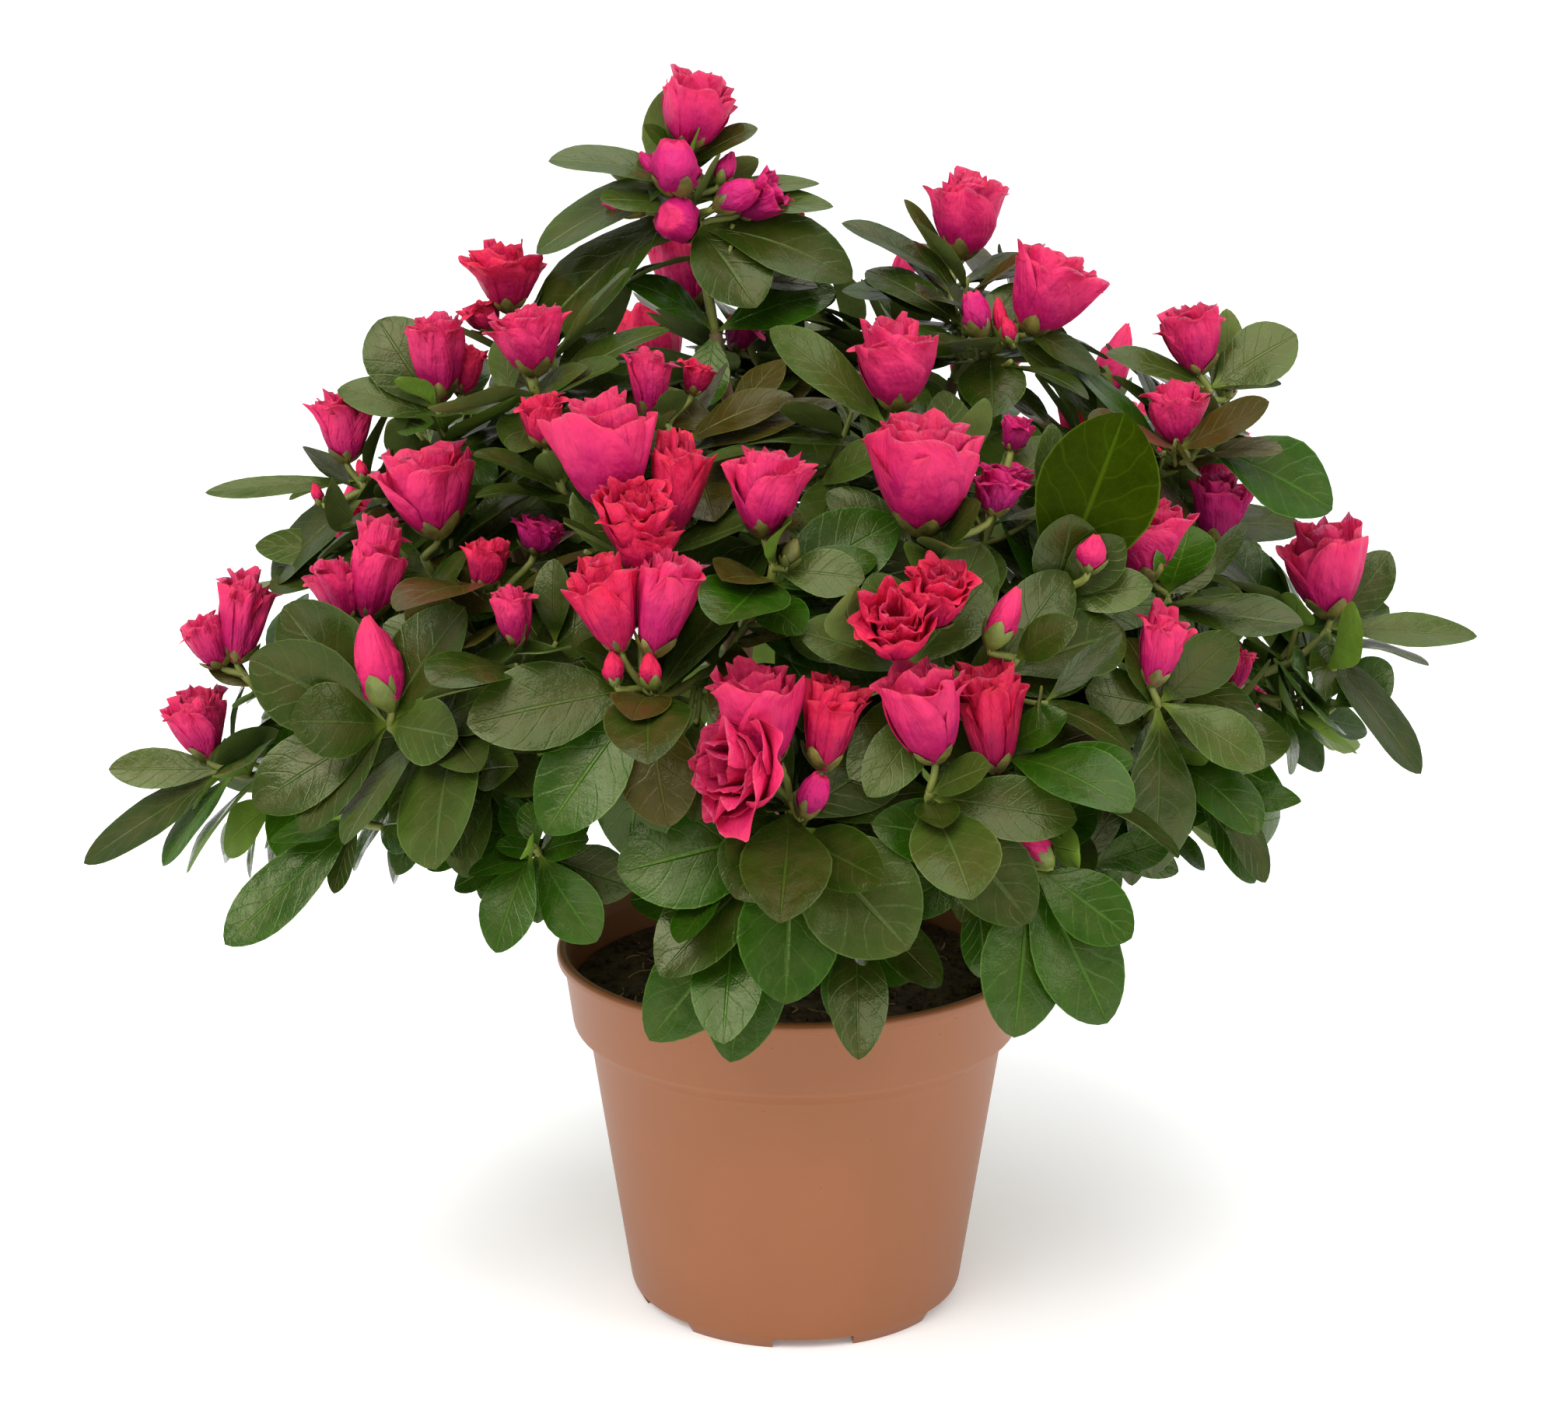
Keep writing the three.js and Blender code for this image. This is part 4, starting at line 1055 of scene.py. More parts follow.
def add_bud(batch, place, axis, length, width, form, tone):
    """A furled bud: petals wound round each other, to a soft point or a blunt top."""
    across, beside = axes_on(axis, blossom_chance.uniform(0, 360))
    shares = np.linspace(0.02, 0.985, BUD_RINGS)
    swell = np.sin(np.pi * (shares * BUD_TOPS[form]) ** 0.8) ** 0.7
    angles = np.arange(BUD_SIDES) * 2 * np.pi / BUD_SIDES
    wind = (np.arange(BUD_SIDES)[None, :] / BUD_SIDES * 3 + shares[:, None] * 0.9) % 1
    radii = width / 2 * swell[:, None] * (0.84 + 0.24 * wind)
    ring = np.cos(angles)[None, :, None] * across - np.sin(angles)[None, :, None] * beside
    bow = tilted(axis, 90, blossom_chance.uniform(0, 360)) * 0.05 * length
    path = place + axis * (shares * length)[:, None] + bow * (shares ** 2)[:, None]
    grid = path[:, None, :] + ring * radii[..., None]
    grid[-1] += axis * blossom_chance.uniform(-0.05, 0.05, (BUD_SIDES, 1)) * length
    add_tube(batch, grid, place, path[-1] + axis * length * (0.03 if form == "bud" else -0.1), tone)


BLADE_ROWS = np.array([0.025, 0.08, 0.17, 0.28, 0.4, 0.52, 0.63, 0.73, 0.81, 0.88, 0.935, 0.975])
BLADE_ACROSS = np.array([-1, -0.5, 0, 0.5, 1])
BLADE_RIMS = np.array([True, False, False, False, True, False])
SCALE_ROWS = np.array([0.08, 0.35, 0.65, 0.9])
BLADE_SWELL, BLADE_TAPER = 1.25, 0.7        # how roundly a leaf widens from its foot and narrows to its tip
BLADE_STALK = 0.07            # the least breadth, at its foot
BLADE_WAVE, BLADE_WAVE_WIDTH = 0.35, 6
MIDRIB, MIDRIB_FOOT = 0.3, 0.35             # how thick a leaf is, and how much thicker at its foot


def blade(root, along, face, length, width, bend, fold, twist, rows=BLADE_ROWS, broad=0.6):
    """The rings of a leaf: five points across its face and one under its midrib, bent along an arc."""
    side = np.cross(face, along)
    start = along * math.cos(bend / 2) + face * math.sin(bend / 2)
    up = face * math.cos(bend / 2) - along * math.sin(bend / 2)
    shares = np.append(rows, 1)
    angles = bend * shares
    ahead = length * shares * np.sinc(angles / np.pi)
    fall = length * shares * np.sin(angles / 2) * np.sinc(angles / 2 / np.pi)
    centre = root + np.outer(ahead, start) - np.outer(fall, up)
    tip, centre, angles = centre[-1], centre[:-1], angles[:-1]
    normal = np.outer(np.sin(angles), start) + np.outer(np.cos(angles), up)
    lift, level = np.sin(twist * rows)[:, None], np.cos(twist * rows)[:, None]
    sides = side * level + normal * lift
    normal = normal * level - side * lift
    rising = np.sin(np.pi / 2 * np.minimum(rows / broad, 1)) ** BLADE_SWELL
    falling = np.maximum(1 - (np.maximum(rows - broad, 0) / (1 - broad)) ** 2, 0) ** BLADE_TAPER
    half = np.maximum(rising * falling, BLADE_STALK * (1 - rows)) * width / 2
    offsets = BLADE_ACROSS[None, :] * half[:, None]
    waves = BLADE_WAVE * np.sin(rows * 9 + twist * 20)[:, None] * offsets / BLADE_WAVE_WIDTH
    heights = np.abs(offsets) * fold + waves + 0.05 * half[:, None] * (np.abs(BLADE_ACROSS) == 0.5)[None, :]
    top = centre[:, None] + sides[:, None] * offsets[..., None] + normal[:, None] * heights[..., None]
    under = centre - normal * (MIDRIB + MIDRIB_FOOT * (1 - rows))[:, None]
    return np.concatenate([top, under[:, None]], axis=1), tip


def add_blade(batch, root, grid, tip, face_paint, under_paint, rows=BLADE_ROWS):
    """A closed leaf or scale, with a texture that runs from its foot to its tip."""
    across = np.tile(np.append((BLADE_ACROSS + 1) / 2, 0.5), (len(rows), 1))
    texture = np.stack([across, np.repeat(rows[:, None], 6, axis=1)], -1)
    add_tube(batch, grid, root, tip, rims=BLADE_RIMS, side_paints=[face_paint] * 4 + [under_paint] * 2,
             texture=texture)


def add_scales(batch, place, axis, reach, rise, paint):
    """The scales that hold a flower or bud at its foot, out to a reach and a rise."""
    chance = blossom_chance.uniform
    for number in range(SCALES):
        spread = math.degrees(math.atan2(reach, rise)) * chance(*SCALE_SPREADS)
        along = tilted(axis, spread, number * 360 / SCALES + chance(*SCALE_TURNS))
        inward = unit(axis - along * axis.dot(along))
        size = math.hypot(reach, rise) * chance(*SCALE_SIZES)
        start = place - axis * 0.6
        grid, tip = blade(start, along, inward, size, size * SCALE_WIDTH, -1.0, 0.3, 0, SCALE_ROWS, 0.42)
        add_blade(batch, start, grid, tip, paint, paint, SCALE_ROWS)


blossoms = {"left": Batch(), "right": Batch(), "back": Batch()}
bloom_hulls = []
open_sights = []              # place and reach of the parts of flowers that no leaf may stand before


def add_hull(place, axis, radius, height):
    """A simple cup round a flower, for keeping leaves clear of it."""
    across, beside = axes_on(axis, 0)
    angles = np.arange(HULL_SIDES) * 2 * math.pi / HULL_SIDES
    ring = np.outer(np.cos(angles), across) + np.outer(np.sin(angles), beside)
    points = np.concatenate([
        place + ring * HULL_FOOT, place + ring * radius * 0.75 + axis * height * 0.4,
        place + ring * radius + axis * height,
    ])
    lower = np.arange(HULL_SIDES)
    lower = np.concatenate([np.stack([lower, np.roll(lower, -1)], -1) + level for level in (0, HULL_SIDES)])
    quads = np.concatenate([lower, lower[:, ::-1] + HULL_SIDES], axis=1)
    bloom_hulls.append(boxed(points, quads.tolist()))


def add_bloom(shoot, place, axis, form, height, width, tone):
    """A flower or bud with its scales, on a stalk that curves up to it out of its shoot."""
    batch = blossoms["back" if place[1] > BACK_FROM else "left" if place[0] < 0 else "right"]
    if form in LIPS:
        add_flower(batch, place, axis, height, width, form, TONES.index(tone))
        rise = min(0.28 * height, 6)
        reach = cup_reach(width / 2 - LIPS[form][1] * 0.5, rise / height) + 0.8
        add_scales(batch, place, axis, reach, rise, OLIVE_SCALE)
    else:
        add_bud(batch, place, axis, height, width, form, TONES.index(tone))
        scale = OLIVE_SCALE if form == "fat bud" else GREEN_SCALE
        add_scales(batch, place, axis, width * 0.48 + 0.4, 0.5 * height, scale)
    add_hull(place, axis, width / 2, height)
    curve = shoot["curve"]
    drop = min(max(1.0, 3 - (place - shoot["tip"]).dot(shoot["lean"])), curve.length * 0.5)
    share = curve.down(drop)
    start = curve.at(share)
    stalk = Swing(start, unit(curve.heading(share) + unit(place - start)), place, axis)
    path = stalk.at(np.linspace(0, 1, STALK_RINGS))
    add_tube(twigs, sweep(path, np.linspace(*STALK_RADII, STALK_RINGS), TWIG_SIDES), path[0], path[-1])


for shoot in shoots:
    front_flowers = FRONT_FLOWERS.get(shoot["name"])
    if front_flowers:
        for form, right, up, front, lean, nod, height, width, tone in front_flowers:
            lean, nod = math.radians(lean), math.radians(nod - STANDS_BACK)
            axis = np.array([math.sin(lean) * math.cos(nod), -math.sin(nod), math.cos(lean) * math.cos(nod)])
            place = shoot["tip"] + (right, -front, up)
            add_bloom(shoot, place, axis, form, height, width, tone)
            open_sights += [(*(place + axis * height * share), width * 0.4) for share in (0.5, 0.8)]
    elif shoot["name"][0].startswith("back"):
        tone = str(blossom_chance.choice(TONES[:3], p=BACK_TONES))
        for tilt, turn in BACK_FLOWERS[shoot["bloom"]]:
            axis = tilted(shoot["lean"], tilt + blossom_chance.uniform(*BACK_TILTS), shoot["turn"] + turn)
            form = "bud" if shoot["bloom"] == "bud" else str(blossom_chance.choice(list(LIPS)))
            height = blossom_chance.uniform(*BACK_HEIGHTS)
            width = height * (BACK_BUD_WIDTH if form == "bud" else blossom_chance.uniform(*BACK_WIDTHS))
            add_bloom(shoot, shoot["tip"] + axis * STALK, axis, form, height, width, tone)


def petal_marks_group():
    """What a petal shows along its own length: how deep the colour is, its fine streaks and its relief."""
    group, given = start_group("petal_marks", Streak_Count="Float")
    place = add_node(group, "TexCoord").outputs
    along = add_node(group, "SeparateXYZ", {0: place["UV"]}).outputs["Y"]
    long_way = add_node(group, "Mapping", {"Vector": place["UV"], "Scale": (1, 0.22, 1)}).outputs[0]
    streaks = add_noise(group, long_way, given["Streak Count"], 4)
    clouds = add_noise(group, place["Object"], 230, 3)
    depth = add_step(group, along, 0.12, 0.75, 1, 0)
    depth = add_maths(group, "ADD", depth, add_range(group, streaks, 0.35, 0.7, -0.1, 0.14))
    depth = add_maths(group, "ADD", depth, add_range(group, clouds, 0.3, 0.7, -0.3, 0.4), use_clamp=True)
    edge = add_step(group, along, 0.84, 1)
    height = add_maths(group, "MULTIPLY_ADD", clouds, 0.8, streaks)
    return finish_group(group, Depth=depth, Edge=edge, Height=height)


petal_marks = petal_marks_group()


def petal_material(name, bright, deep, edge):
    """A petal's thin, softly shining skin in one tone of pink."""
    material, tree, shader = new_material(
        name, Roughness=0.55, Specular_IOR_Level=0.2, Subsurface_Weight=0.2, Subsurface_Scale=0.002,
        Subsurface_Radius=(1.0, 0.25, 0.35),
    )
    marks = add_node(tree, "Group", {"Streak Count": 13}, node_tree=petal_marks).outputs
    body = add_blend(tree, marks["Depth"], linear(*bright), linear(*deep))
    tree.links.new(add_blend(tree, marks["Edge"], body, linear(*edge)), shader.inputs["Base Color"])
    add_bump(tree, shader, marks["Height"], 0.0016, 0.65)
    return material


def scale_material(name, shade, amount):
    """A scale's thin dry skin, finely ridged."""
    return natural_material(name, shade, 0.55, 260, amount, (1500, 3), (0.0002, 0.6))


petal_skins = [
    petal_material("rose_pink", (208, 40, 94), (170, 12, 84), (216, 50, 88)),
    petal_material("red_pink", (208, 30, 74), (166, 12, 70), (214, 42, 68)),
    petal_material("magenta", (184, 20, 98), (146, 12, 84), (202, 38, 94)),
    scale_material("green_bud", (98, 96, 38), 0.35),
    scale_material("olive_scale", (104, 96, 40), 0.75),
    scale_material("green_scale", (98, 108, 40), 0.35),
]
foliage_pieces = [batch.make(f"blossom_{side}", petal_skins) for side, batch in blossoms.items()]

# Leaves: thick dark green blades, widest past the middle, in a rosette under each flower and down
# the shoot. Each is creased along its midrib, softly shining, and finely haired at its edge.

LEAF_LENGTH = 41
LEAF_WIDTH = 0.47             # of its length
LEAF_LEAST, LEAF_GROWTH, LEAF_CHANCE = 0.95, 0.03, 0.16
LEAF_TILT, LEAF_TILT_STEP, LEAF_TILT_CHANCE = 72, 6, 10
LEAF_EVERY, FIRST_LEAF = 5.7, 4
LEAF_TRIES, LEAF_LIFT, LEAF_TRIM = 6, 9, 0.09
LEAF_CHANCES = [              # bend, fold, twist, where it is broadest, breadth, roll
    (-0.2, 0.75), (0.02, 0.26), (-0.3, 0.3), (0.53, 0.63), (0.9, 1.12), (-0.5, 0.5),
]
GIVEN_FOLDS, GIVEN_TWISTS = (0.05, 0.18), (-0.2, 0.2)
LEAF_FACING = 0.6
GOLDEN_ANGLE = 137.5
SHORT_FROM, SHORT_RATE = 165, 0.0026        # leaves get shorter from this height up
SHORT_LEAVES = {              # shoots with shorter leaves than the rest
    ("right_front", 2): 0.7, ("low_right", 0): 0.7, ("low_right", 1): 0.7, ("low_right", 2): 0.6,
    ("low_left", 0): 0.8, ("low_left", 1): 0.8, ("low_left", 2): 0.75, ("low_left", 3): 0.6,
    ("far_left", 0): 0.8, ("right_shoulder", 1): 0.75, ("front", 1): 0.8, ("front", 2): 0.75,
    ("front_right", 2): 0.75,
}
DROOP_FROM, DROOP_RATE, MOST_DROOP = 152, 1.1, 32
ROSETTE_LEAVES, ROSETTE_FIRST, ROSETTE_EVERY = 11, 0.6, 2.1
ROSETTE_YOUNG = 4             # leaves of a rosette that are still small, rounded and upright
ROSETTE_TILT, ROSETTE_OPENING, ROSETTE_TILT_STEP, ROSETTE_TILT_CHANCE = 34, 44, 3.4, 9
ROSETTE_LENGTH, ROSETTE_GROWTH, ROSETTE_LENGTHS, ROSETTE_ROUNDING = 17, 20, (0.86, 1.14), 0.13
ROSETTE_TURN_CHANCE, ROSETTE_TRIES = 14, 4
CLOSED_SHOOTS = [("front", 1), ("front", 2), ("front_right", 2)]   # with no small leaves at the tip yet
CLOSED_STEPS = 6
SIDE_TWIGS, SIDE_TWIG_PLACES, SIDE_TWIG_TILT = 3, (0.35, 0.85), 52
SIDE_TWIG_LENGTHS, SIDE_TWIG_RADIUS, SIDE_TWIG_LOWEST = (11, 18), 0.7, 96
SIDE_LEAVES, SIDE_LEAF_FIRST, SIDE_LEAF_EVERY = 6, 0.6, 1.8
SIDE_LEAF_TILT, SIDE_LEAF_TILT_STEP, SIDE_LEAF_LENGTHS, SIDE_LEAF_TRIES = 48, 9, (20, 32), 3
REACH_OVER = np.array([13.0, 13, 4])        # past the solids, for curled tips
TEST_ROWS = np.array([0.16, 0.6, 0.96])
CLEAR_OF_POT = 93             # the height from which nothing is in a leaf's way
SOIL_CLEAR_REACH, SOIL_CLEAR_HEIGHT = 57, 85.5
WALL_INSIDE, WALL_OUTSIDE, BAND_OUTSIDE, BAND_FOOT = 56.2, 56.5, 60.6, 72
TOWARDS_VIEWER = np.array([0, -1.0, 0])
EYE = np.array(CAMERA_PLACE) / MM
SIGHT_DEPTH = 70              # how far before a flower leaves are kept out of the way
SKIRT = np.array([            # how low leaves are seen to hang, by distance right of the pot's middle
    (-175, 112), (-115, 106), (-64, 102), (-60, 58), (80, 58),
    (85, 107), (117, 108), (131, 136), (156, 139), (168, 165),
])
OPEN_SKY = [(123, 225, 9), (-155, 160, 7)]  # right, up and reach of gaps between shoots as seen

LEAF_TINTS = {                # face, vein, and how brown its middle is
    "dark": ((37, 53, 8), (62, 84, 24), 0.4),
    "grey": ((53, 70, 20), (84, 104, 48), 0.32),
    "bronze": ((56, 50, 12), (82, 82, 30), 0.6),
    "deep": ((32, 64, 4), (64, 106, 20), 0.2),
    "fresh": ((44, 80, 4), (92, 130, 28), 0.1),
    "backlit": ((33, 46, 0), (68, 88, 8), 0),
}
UNDER_TINTS = {"pale_under": (96, 114, 54), "fresh_under": (106, 138, 44)}
FRESH_UNDER = ("fresh", "deep", "backlit")
SPRAY_TINTS = [               # the chance of each of the first five tints, above a height
    (205, (0.46, 0.3, 0.12, 0.12, 0)), (170, (0.5, 0.26, 0.12, 0.12, 0)), (0, (0.3, 0.16, 0.04, 0.46, 0.04)),
]
DULL_TINTS = {"backlit": 0.03}              # how strongly a leaf shines where it differs from the rest
LEAF_SHINE, LEAF_ROUGHNESS, UNDER_ROUGHNESS, LEAF_RELIEF = 0.34, 0.23, 0.6, 0.0003
BROWN_MIDDLE, PALE_FOOT = (60, 50, 22), (112, 132, 44)
EDGE_PALER, UNDER_VEIN_PALER = 24, 20
TINT_NAMES = list(LEAF_TINTS)

FRONT_LEAVES = {              # down the shoot; right, up and front of its root; breadth, bend; tint
    ("leader", 0): [
        (4, -33, 6, 5, 0.46, 0.5, "grey"), (2, -36, -18, 4, 0.48, 0.4, "grey"),
        (8, -39, -34, 6, 0.44, 0.4, "dark"), (10, -21, 4, 14, 0.46, 0.3, "grey"),
        (13, 15, -18, 16, 0.68, 0.3, "dark"), (14, 38, -12, 6, 0.5, 0.6, "dark"),
        (5, 31, 1, -2, 0.22, 0.1, "grey"), (7, 34, -2, 2, 0.28, 0.1, "grey"),
        (0, -10, 10, 2, 0.55, 0.3, "deep"), (0, 17, 9, 0, 0.55, 0.4, "dark"),
        (2, 3, 12, 6, 0.6, 0.2, "fresh"), (40, -22, 13, 4, 0.46, 0.7, "deep"),
        (40, 29, 10, 2, 0.6, 0.4, "deep"), (40, -3, -17, 8, 0.6, 0.2, "fresh"),
    ],
    ("upper_right", 0): [
        (3, -27, 14, -2, 0.42, 0.3, "dark"), (3, -12, 20, 0, 0.34, 0.3, "grey"),
        (9, -22, 6, 0, 0.55, 0.4, "deep"), (9, -27, 3, -5, 0.5, 0.3, "deep"),
        (15, -22, 12, -4, 0.5, 0.3, "dark"),
    ],
    ("upper_right", 1): [(4, 19, -11, 4, 0.5, 0.3, "dark"), (9, 21, -17, 2, 0.5, 0.3, "grey")],
    ("top_front", 0): [(0, -27, 23, 4, 0.36, 0.3, "grey")],
    ("left_shoulder", 0): [(2, -15, 21, -8, 0.66, 0.6, "dark"), (4, -25, 7, -2, 0.42, 0.5, "grey")],
    ("left_shoulder", 1): [(0, -37, -3, 0, 0.18, 0.05, "grey"), (4, -24, -22, 2, 0.6, 0.4, "dark")],
    ("left", 1): [(0, -23, -9, 2, 0.66, 0.3, "dark"), (2, -28, 2, -4, 0.4, 0.3, "grey")],
    ("centre", 0): [(2, 20, -1, 4, 0.55, 0.3, "grey")],
    ("centre_right", 2): [
        (6, 16, 42, -6, 0.62, 0.2, "backlit"), (3, -12, -19, 8, 0.8, 0.3, "dark"),
        (6, 4, 21, 3, 0.8, 0.3, "dark"), (3, 14, 14, 2, 0.6, 0.3, "dark"),
        (5, 22, 4, 2, 0.5, 0.3, "grey"),
    ],
    ("right_shoulder", 0): [
        (0, 20, 13, 0, 0.72, 0.3, "grey"), (0, 16, 2, 6, 0.4, 0.3, "dark"),
        (0, -26, 9, 4, 0.42, 0.3, "grey"),
    ],
    ("right_shoulder", 1): [(0, 31, -15, 4, 0.72, 0.3, "deep")],
    ("right", 1): [(0, 4, 17, 5, 0.95, 0.2, "fresh"), (0, 0, -21, 10, 0.6, 0.3, "dark")],
    ("far_right", 0): [
        (0, 35, -1, 4, 0.32, 0.1, "grey"), (4, 25, -31, 8, 0.46, 0.1, "dark"),
        (0, -3, -15, 10, 0.8, 0.3, "dark"), (1, 16, 18, -8, 0.5, 0.3, "dark"),
    ],
    ("far_right", 1): [(23, 18, -19, 4, 0.6, 0.3, "deep")],
    ("right_front", 1): [
        (1, -1, -37, 10, 0.52, 0.3, "dark"), (0, 23, -13, 8, 0.5, 0.4, "grey"),
        (1, -17, 5, 6, 0.7, 0.3, "dark"), (0, 16, 17, 4, 0.55, 0.3, "dark"),
    ],
    ("right_front", 2): [(0, 11, -21, 6, 0.45, 0.3, "dark"), (7, 14, -21, 2, 0.4, 0.4, "deep")],
    ("front", 0): [
        (7, -12, -14, 12, 0.85, 0.3, "dark"), (8, 26, -25, 12, 0.7, 0.3, "grey"),
        (10, -38, -8, 6, 0.62, 0.4, "deep"), (12, -1, -33, 18, 0.6, 0.3, "deep"),
        (14, -30, 4, 0, 0.6, 0.3, "dark"), (18, -41, 3, -14, 0.5, 0.4, "deep"),
        (16, -26, -20, -2, 0.6, 0.4, "deep"),
    ],
    ("front", 1): [(18, -30, -36, 13, 0.42, 0.3, "deep"), (14, -9, -38, 14, 0.44, 0.3, "deep")],
    ("front", 2): [(7, 1, -24, 8, 0.56, 0.3, "deep")],
    ("front_right", 1): [
        (3, 8, -17, 12, 0.62, 0.3, "dark"), (5, 22, -25, 8, 0.54, 0.3, "dark"),
        (2, 32, -4, 4, 0.45, 0.3, "dark"),
    ],
    ("front_right", 2): [
        (0, 22, -15, 6, 0.56, 0.4, "deep"), (2, -3, -35, 12, 0.56, 0.3, "deep"),
        (2, 18, -34, 6, 0.54, 0.4, "deep"),
    ],
    ("low_right", 0): [(15, 2, -23, 4, 0.45, 0.3, "dark")],
    ("far_left", 1): [
        (0, -35, -22, 6, 0.36, 0.1, "dark"), (0, -29, 0, 0, 0.36, 0.1, "grey"),
        (2, -17, -21, 8, 0.46, 0.3, "fresh"),
    ],
    ("low_left", 0): [(30, -3, -22, 10, 0.8, 0.3, "fresh")],
    ("low_left", 2): [
        (0, -31, -28, 8, 0.38, 0.05, "deep"), (0, -6, -17, 4, 0.4, 0.3, "dark"),
        (19, -7, -15, 4, 0.65, 0.3, "deep"),
    ],
    ("low_left", 3): [
        (0, -8, -22, 8, 0.55, 0.3, "deep"), (4, 13, -18, 8, 0.6, 0.3, "deep"),
        (12, 0, -16, 4, 0.5, 0.3, "deep"), (6, 21, -7, 2, 0.6, 0.3, "dark"),
    ],
    ("left_front", 3): [
        (0, -19, -22, 10, 0.44, 0.3, "dark"), (0, -30, -18, 4, 0.5, 0.4, "dark"),
        (0, 17, 1, 14, 0.7, 0.3, "grey"), (0, -20, 4, 12, 0.75, 0.3, "dark"),
        (0, -30, 16, 2, 0.6, 0.5, "dark"), (0, 18, 27, 0, 0.6, 0.4, "dark"),
        (4, -26, 27, -10, 0.6, 0.4, "dark"),
    ],
    ("centre", 1): [
        (0, -38, -6, 8, 0.5, 0.4, "dark"), (2, -22, -29, 10, 0.52, 0.4, "deep"),
        (2, 5, -27, 12, 0.6, 0.4, "bronze"), (6, -6, -36, 2, 0.52, 0.3, "deep"),
    ],
}
TOP_LEAVES = {                # the same measures, for leaves over the crown's open middle
    ("back_top", 4): [(33, 6, -6, 32, 0.6, 0.3, "dark"), (33, -16, -8, 26, 0.6, 0.3, "dark")],
    ("back_top", 1): [(24, 8, -12, 30, 0.6, 0.3, "grey")],
    ("top_front", 1): [(37, 10, -6, -30, 0.6, 0.3, "grey")],
    ("top_front", 0): [(36, -8, 0, -34, 0.6, 0.3, "dark")],
    ("right", 1): [(30, -22, 4, -14, 0.6, 0.3, "dark"), (24, -26, 2, 6, 0.6, 0.3, "grey")],
    ("right_shoulder", 1): [(24, -28, -6, 2, 0.6, 0.3, "dark")],
}

leaves = {"front": Batch(), "back": Batch()}
leaf_chance = np.random.default_rng(47)
placed_leaves = []
box_low = np.array(cad_box[0]) / MM - REACH_OVER
box_high = np.array(cad_box[1]) / MM + REACH_OVER


def outside_box(points):
    """Whether any point is past the solids' box."""
    return bool((points < box_low).any() or (points > box_high).any())


def pot_clear(points):
    """Whether points keep out of the pot's wall and the soil."""
    for x, y, z in points:
        if z > CLEAR_OF_POT:
            continue
        reach = math.hypot(x, y)
        if reach < SOIL_CLEAR_REACH and z < SOIL_CLEAR_HEIGHT:
            return False
        if WALL_INSIDE < reach < (BAND_OUTSIDE if z > BAND_FOOT else WALL_OUTSIDE):
            return False
    return True


def blade_tree(grid, tip):
    """A leaf's face as a simple sheet: its points, and the sheet with its box."""
    points = np.concatenate([grid[:, [0, 2, 4]].reshape(-1, 3), [tip]])
    faces = [(r + k, r + k + 1, r + k + 4, r + k + 3) for r in (0, 3) for k in (0, 1)]
    return points, boxed(points, faces + [(6, 7, 9), (7, 8, 9)])


def meets(candidate, others):
    """Whether a sheet cuts any of the others."""
    low, high, tree = candidate
    for other_low, other_high, other_tree in others:
        if (other_low > high).any() or (other_high < low).any():
            continue
        if tree.overlap(other_tree):
            return True
    return False


def seen(points):
    """Where the camera sees points on the upright plane through the pot's middle: across and up."""
    nearer = EYE[1] / (EYE[1] - points[..., 1])
    return (EYE + (points - EYE) * nearer[..., None])[..., [0, 2]]


sight_places = np.array(open_sights)[:, :3]
sight_reaches = np.array(open_sights)[:, 3]
seen_flowers = seen(sight_places)


def spoils_view(points):
    """Whether a leaf, seen from the front, hides a flower, hangs under the skirt or fills a gap."""
    places = seen(points)
    if (places[:, 1] < np.interp(places[:, 0], *SKIRT.T)).any():
        return True
    for across, up, reach in OPEN_SKY:
        if (np.hypot(places[:, 0] - across, places[:, 1] - up) < reach).any():
            return True
    ahead = sight_places[None, :, 1] - points[:, None, 1]
    aside = np.linalg.norm(places[:, None] - seen_flowers[None], axis=2)
    return bool(((ahead > 0) & (ahead < SIGHT_DEPTH) & (aside < sight_reaches)).any())


def lay_leaf(root, grid, tip, test, tint):
    """Adds a finished leaf and keeps its sheet for those that come after it."""
    placed_leaves.append(test)
    under = len(TINT_NAMES) + (tint in FRESH_UNDER)
    add_blade(leaves["front" if root[1] < 0 else "back"], root, grid, tip, TINT_NAMES.index(tint), under)


def rolled_face(light, along, roll):
    """The way a leaf faces: to the light, rolled a little about its midrib."""
    face = light - along * light.dot(along)
    if np.linalg.norm(face) < 0.05:
        return None
    face = unit(face)
    return face * math.cos(roll) + np.cross(along, face) * math.sin(roll)


def grow_leaf(shoot, root, axis, tilt, turn, length, tint, tries=LEAF_TRIES, breadth=LEAF_WIDTH):
    """A leaf that would touch another, a flower or a limb is lifted and shortened, and left out at last."""
    bend, fold, twist, broad, slim, roll = (leaf_chance.uniform(*span) for span in LEAF_CHANCES)
    for attempt in range(tries):
        along = tilted(axis, tilt - LEAF_LIFT * attempt, turn)
        face = rolled_face(axis + shoot["out"] * LEAF_FACING, along, roll * (1 - attempt / tries))
        if face is None:
            continue
        size = length * (1 - LEAF_TRIM * attempt)
        shape = (root, along, face, size, size * breadth * slim, bend, fold, twist)
        points, test = blade_tree(*blade(*shape, rows=TEST_ROWS, broad=broad))
        if outside_box(points) or not pot_clear(points):
            continue
        if meets(test, bloom_hulls) or meets(test, limb_trees) or meets(test, placed_leaves):
            continue
        grid, tip = blade(*shape, broad=broad)
        if spoils_view(grid.reshape(-1, 3)):
            continue
        lay_leaf(root, grid, tip, test, tint)
        return True
    return False


